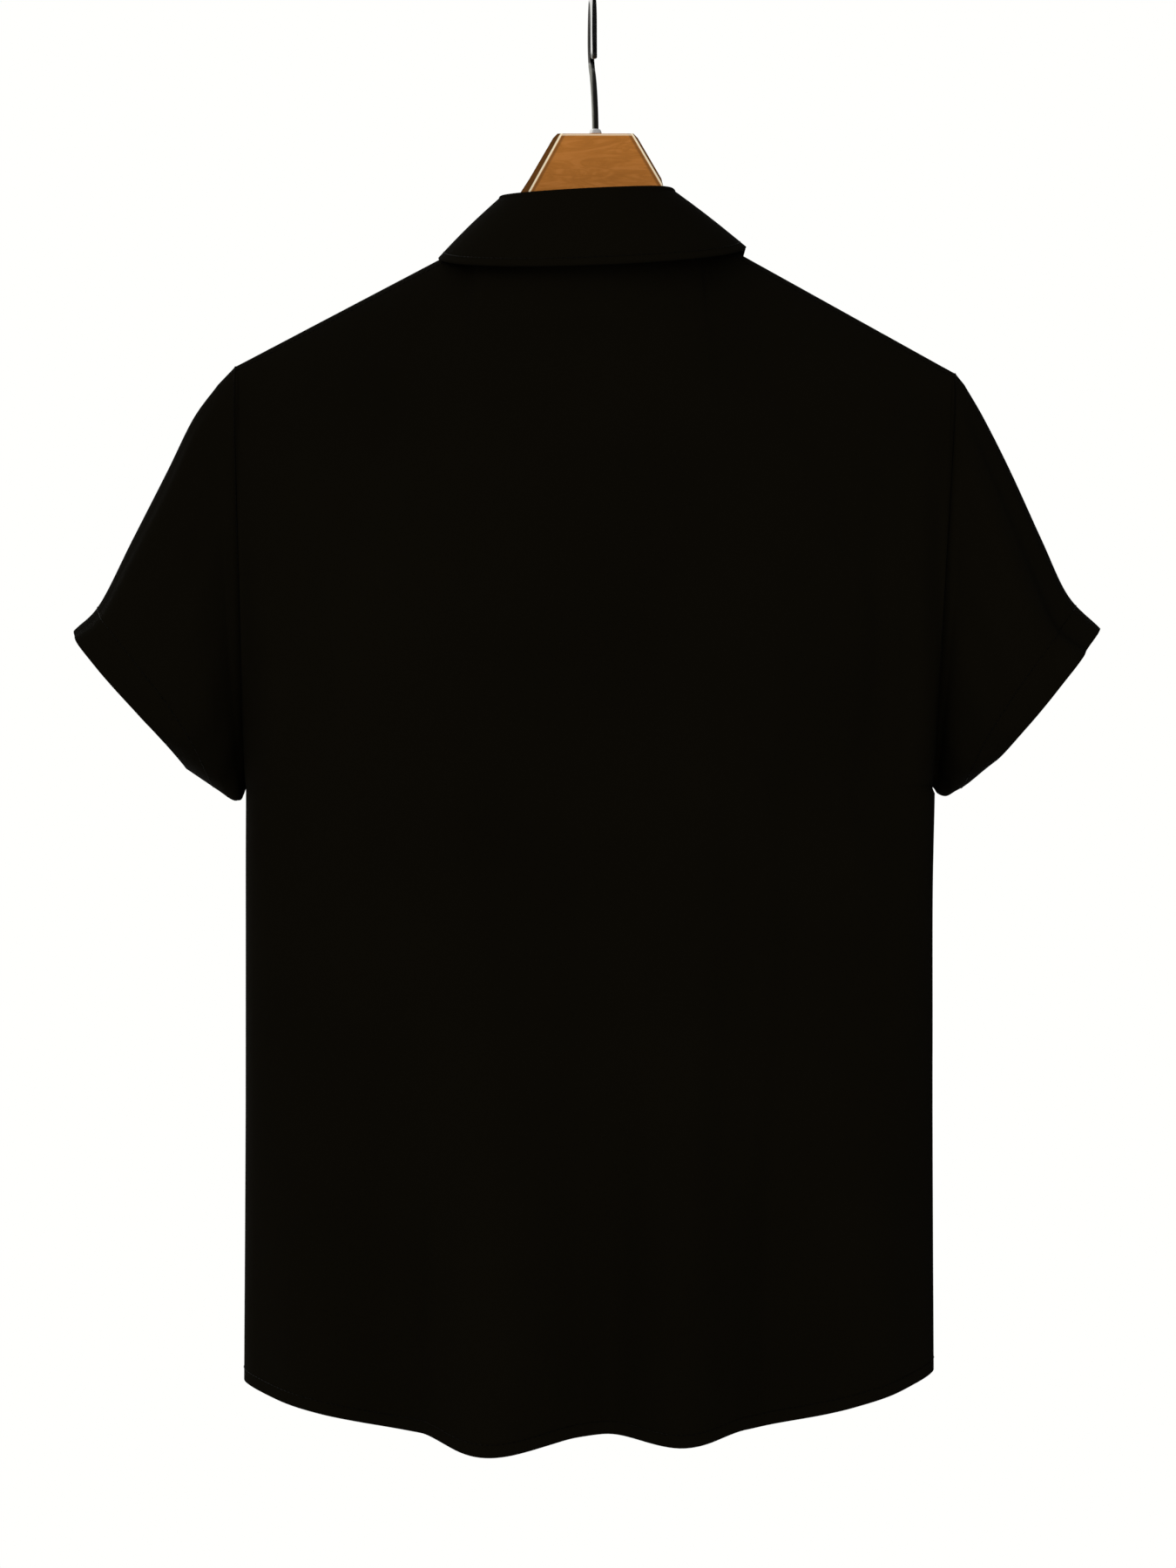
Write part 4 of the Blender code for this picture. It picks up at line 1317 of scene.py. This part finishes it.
floor_drop = 1.45
floor_size = 4.0
select_only()
bpy.ops.mesh.primitive_plane_add(size=floor_size, location=(0, 0, -floor_drop))
floor = bpy.context.object
floor.name = "floor"
floor_finish = Finish("pale floor", specular_ior_level=0.05)
speckle = floor_finish.noise(floor_finish.place(), 60.0, detail=4.0)
floor_finish.colour(speckle, (0.86, 0.86, 0.85), (0.92, 0.92, 0.91))
floor_finish.set("Roughness", 0.75 + speckle * 0.1)
floor.data.materials.append(floor_finish.material)
floor.visible_glossy = False


class Room(Finish):
    """The world's nodes, put together in the same way as a finish's."""

    def __init__(self, name):
        self.world = bpy.data.worlds.new(name)
        self.world.use_nodes = True
        self.tree = self.world.node_tree


room = Room("white room")
bpy.context.scene.world = room.world
# What shines sees the white walls behind the shirt and on its left, and dark hangings elsewhere.
walls_left, walls_behind, walls_edge = 0.766, 0.643, 0.342
walls_softness = 12.0
hangings = 0.003
x, y, _ = room.parts(room.place("Generated"))
towards_walls = y * walls_behind - x * walls_left - walls_edge
bright_side = (towards_walls * walls_softness + 0.5).clipped(hangings)
is_camera, is_glossy, is_transmission = (
    room.node("ShaderNodeLightPath", output=f"Is {kind} Ray")
    for kind in ("Camera", "Glossy", "Transmission")
)
seen_colour = room.mix((1 - is_glossy).most(bright_side), (0.0, 0.0, 0.0), (1.0, 1.0, 0.985))
seen = room.node("ShaderNodeBackground", inputs={"Color": seen_colour, "Strength": 1.0})
ambient_light = {"Color": (0.80, 0.82, 0.85, 1), "Strength": 0.78}
ambient = room.node("ShaderNodeBackground", inputs=ambient_light)
walls_show = is_camera.most(is_glossy).most(is_transmission)
walls = room.node("ShaderNodeMixShader", inputs={0: walls_show, 1: ambient, 2: seen})
room.feed(room.tree.nodes["World Output"].inputs["Surface"], walls)

lamp_aim = Vector((0, 0, -0.45))
for name, place, size, power in (
    ("key", (-1.7, -2.0, 0.9), 1.6, 17.0),
    ("fill", (1.4, -2.4, 0.3), 1.8, 11.0),
    ("front", (0.4, 2.4, 0.7), 2.0, 38.0),
):
    light = bpy.data.lights.new(name, "AREA")
    light.energy = power
    light.size = size
    lamp = add_object(name, light)
    lamp.location = place
    lamp.rotation_euler = (lamp_aim - Vector(place)).to_track_quat("-Z", "Y").to_euler()
    lamp.visible_glossy = False

camera_distance = 2.6
seen_height = 0.972  # how much of the shirt's plane is in view
camera = bpy.data.cameras.new("camera")
camera.sensor_width = 36
camera.lens = camera.sensor_width * camera_distance / seen_height
camera_object = add_object("camera", camera)
camera_object.location = (-0.0026, -camera_distance, -seen_height / 2)
camera_object.rotation_euler = (math.radians(90), 0, 0)
bpy.context.scene.camera = camera_object
bpy.context.scene.view_settings.view_transform = "Standard"
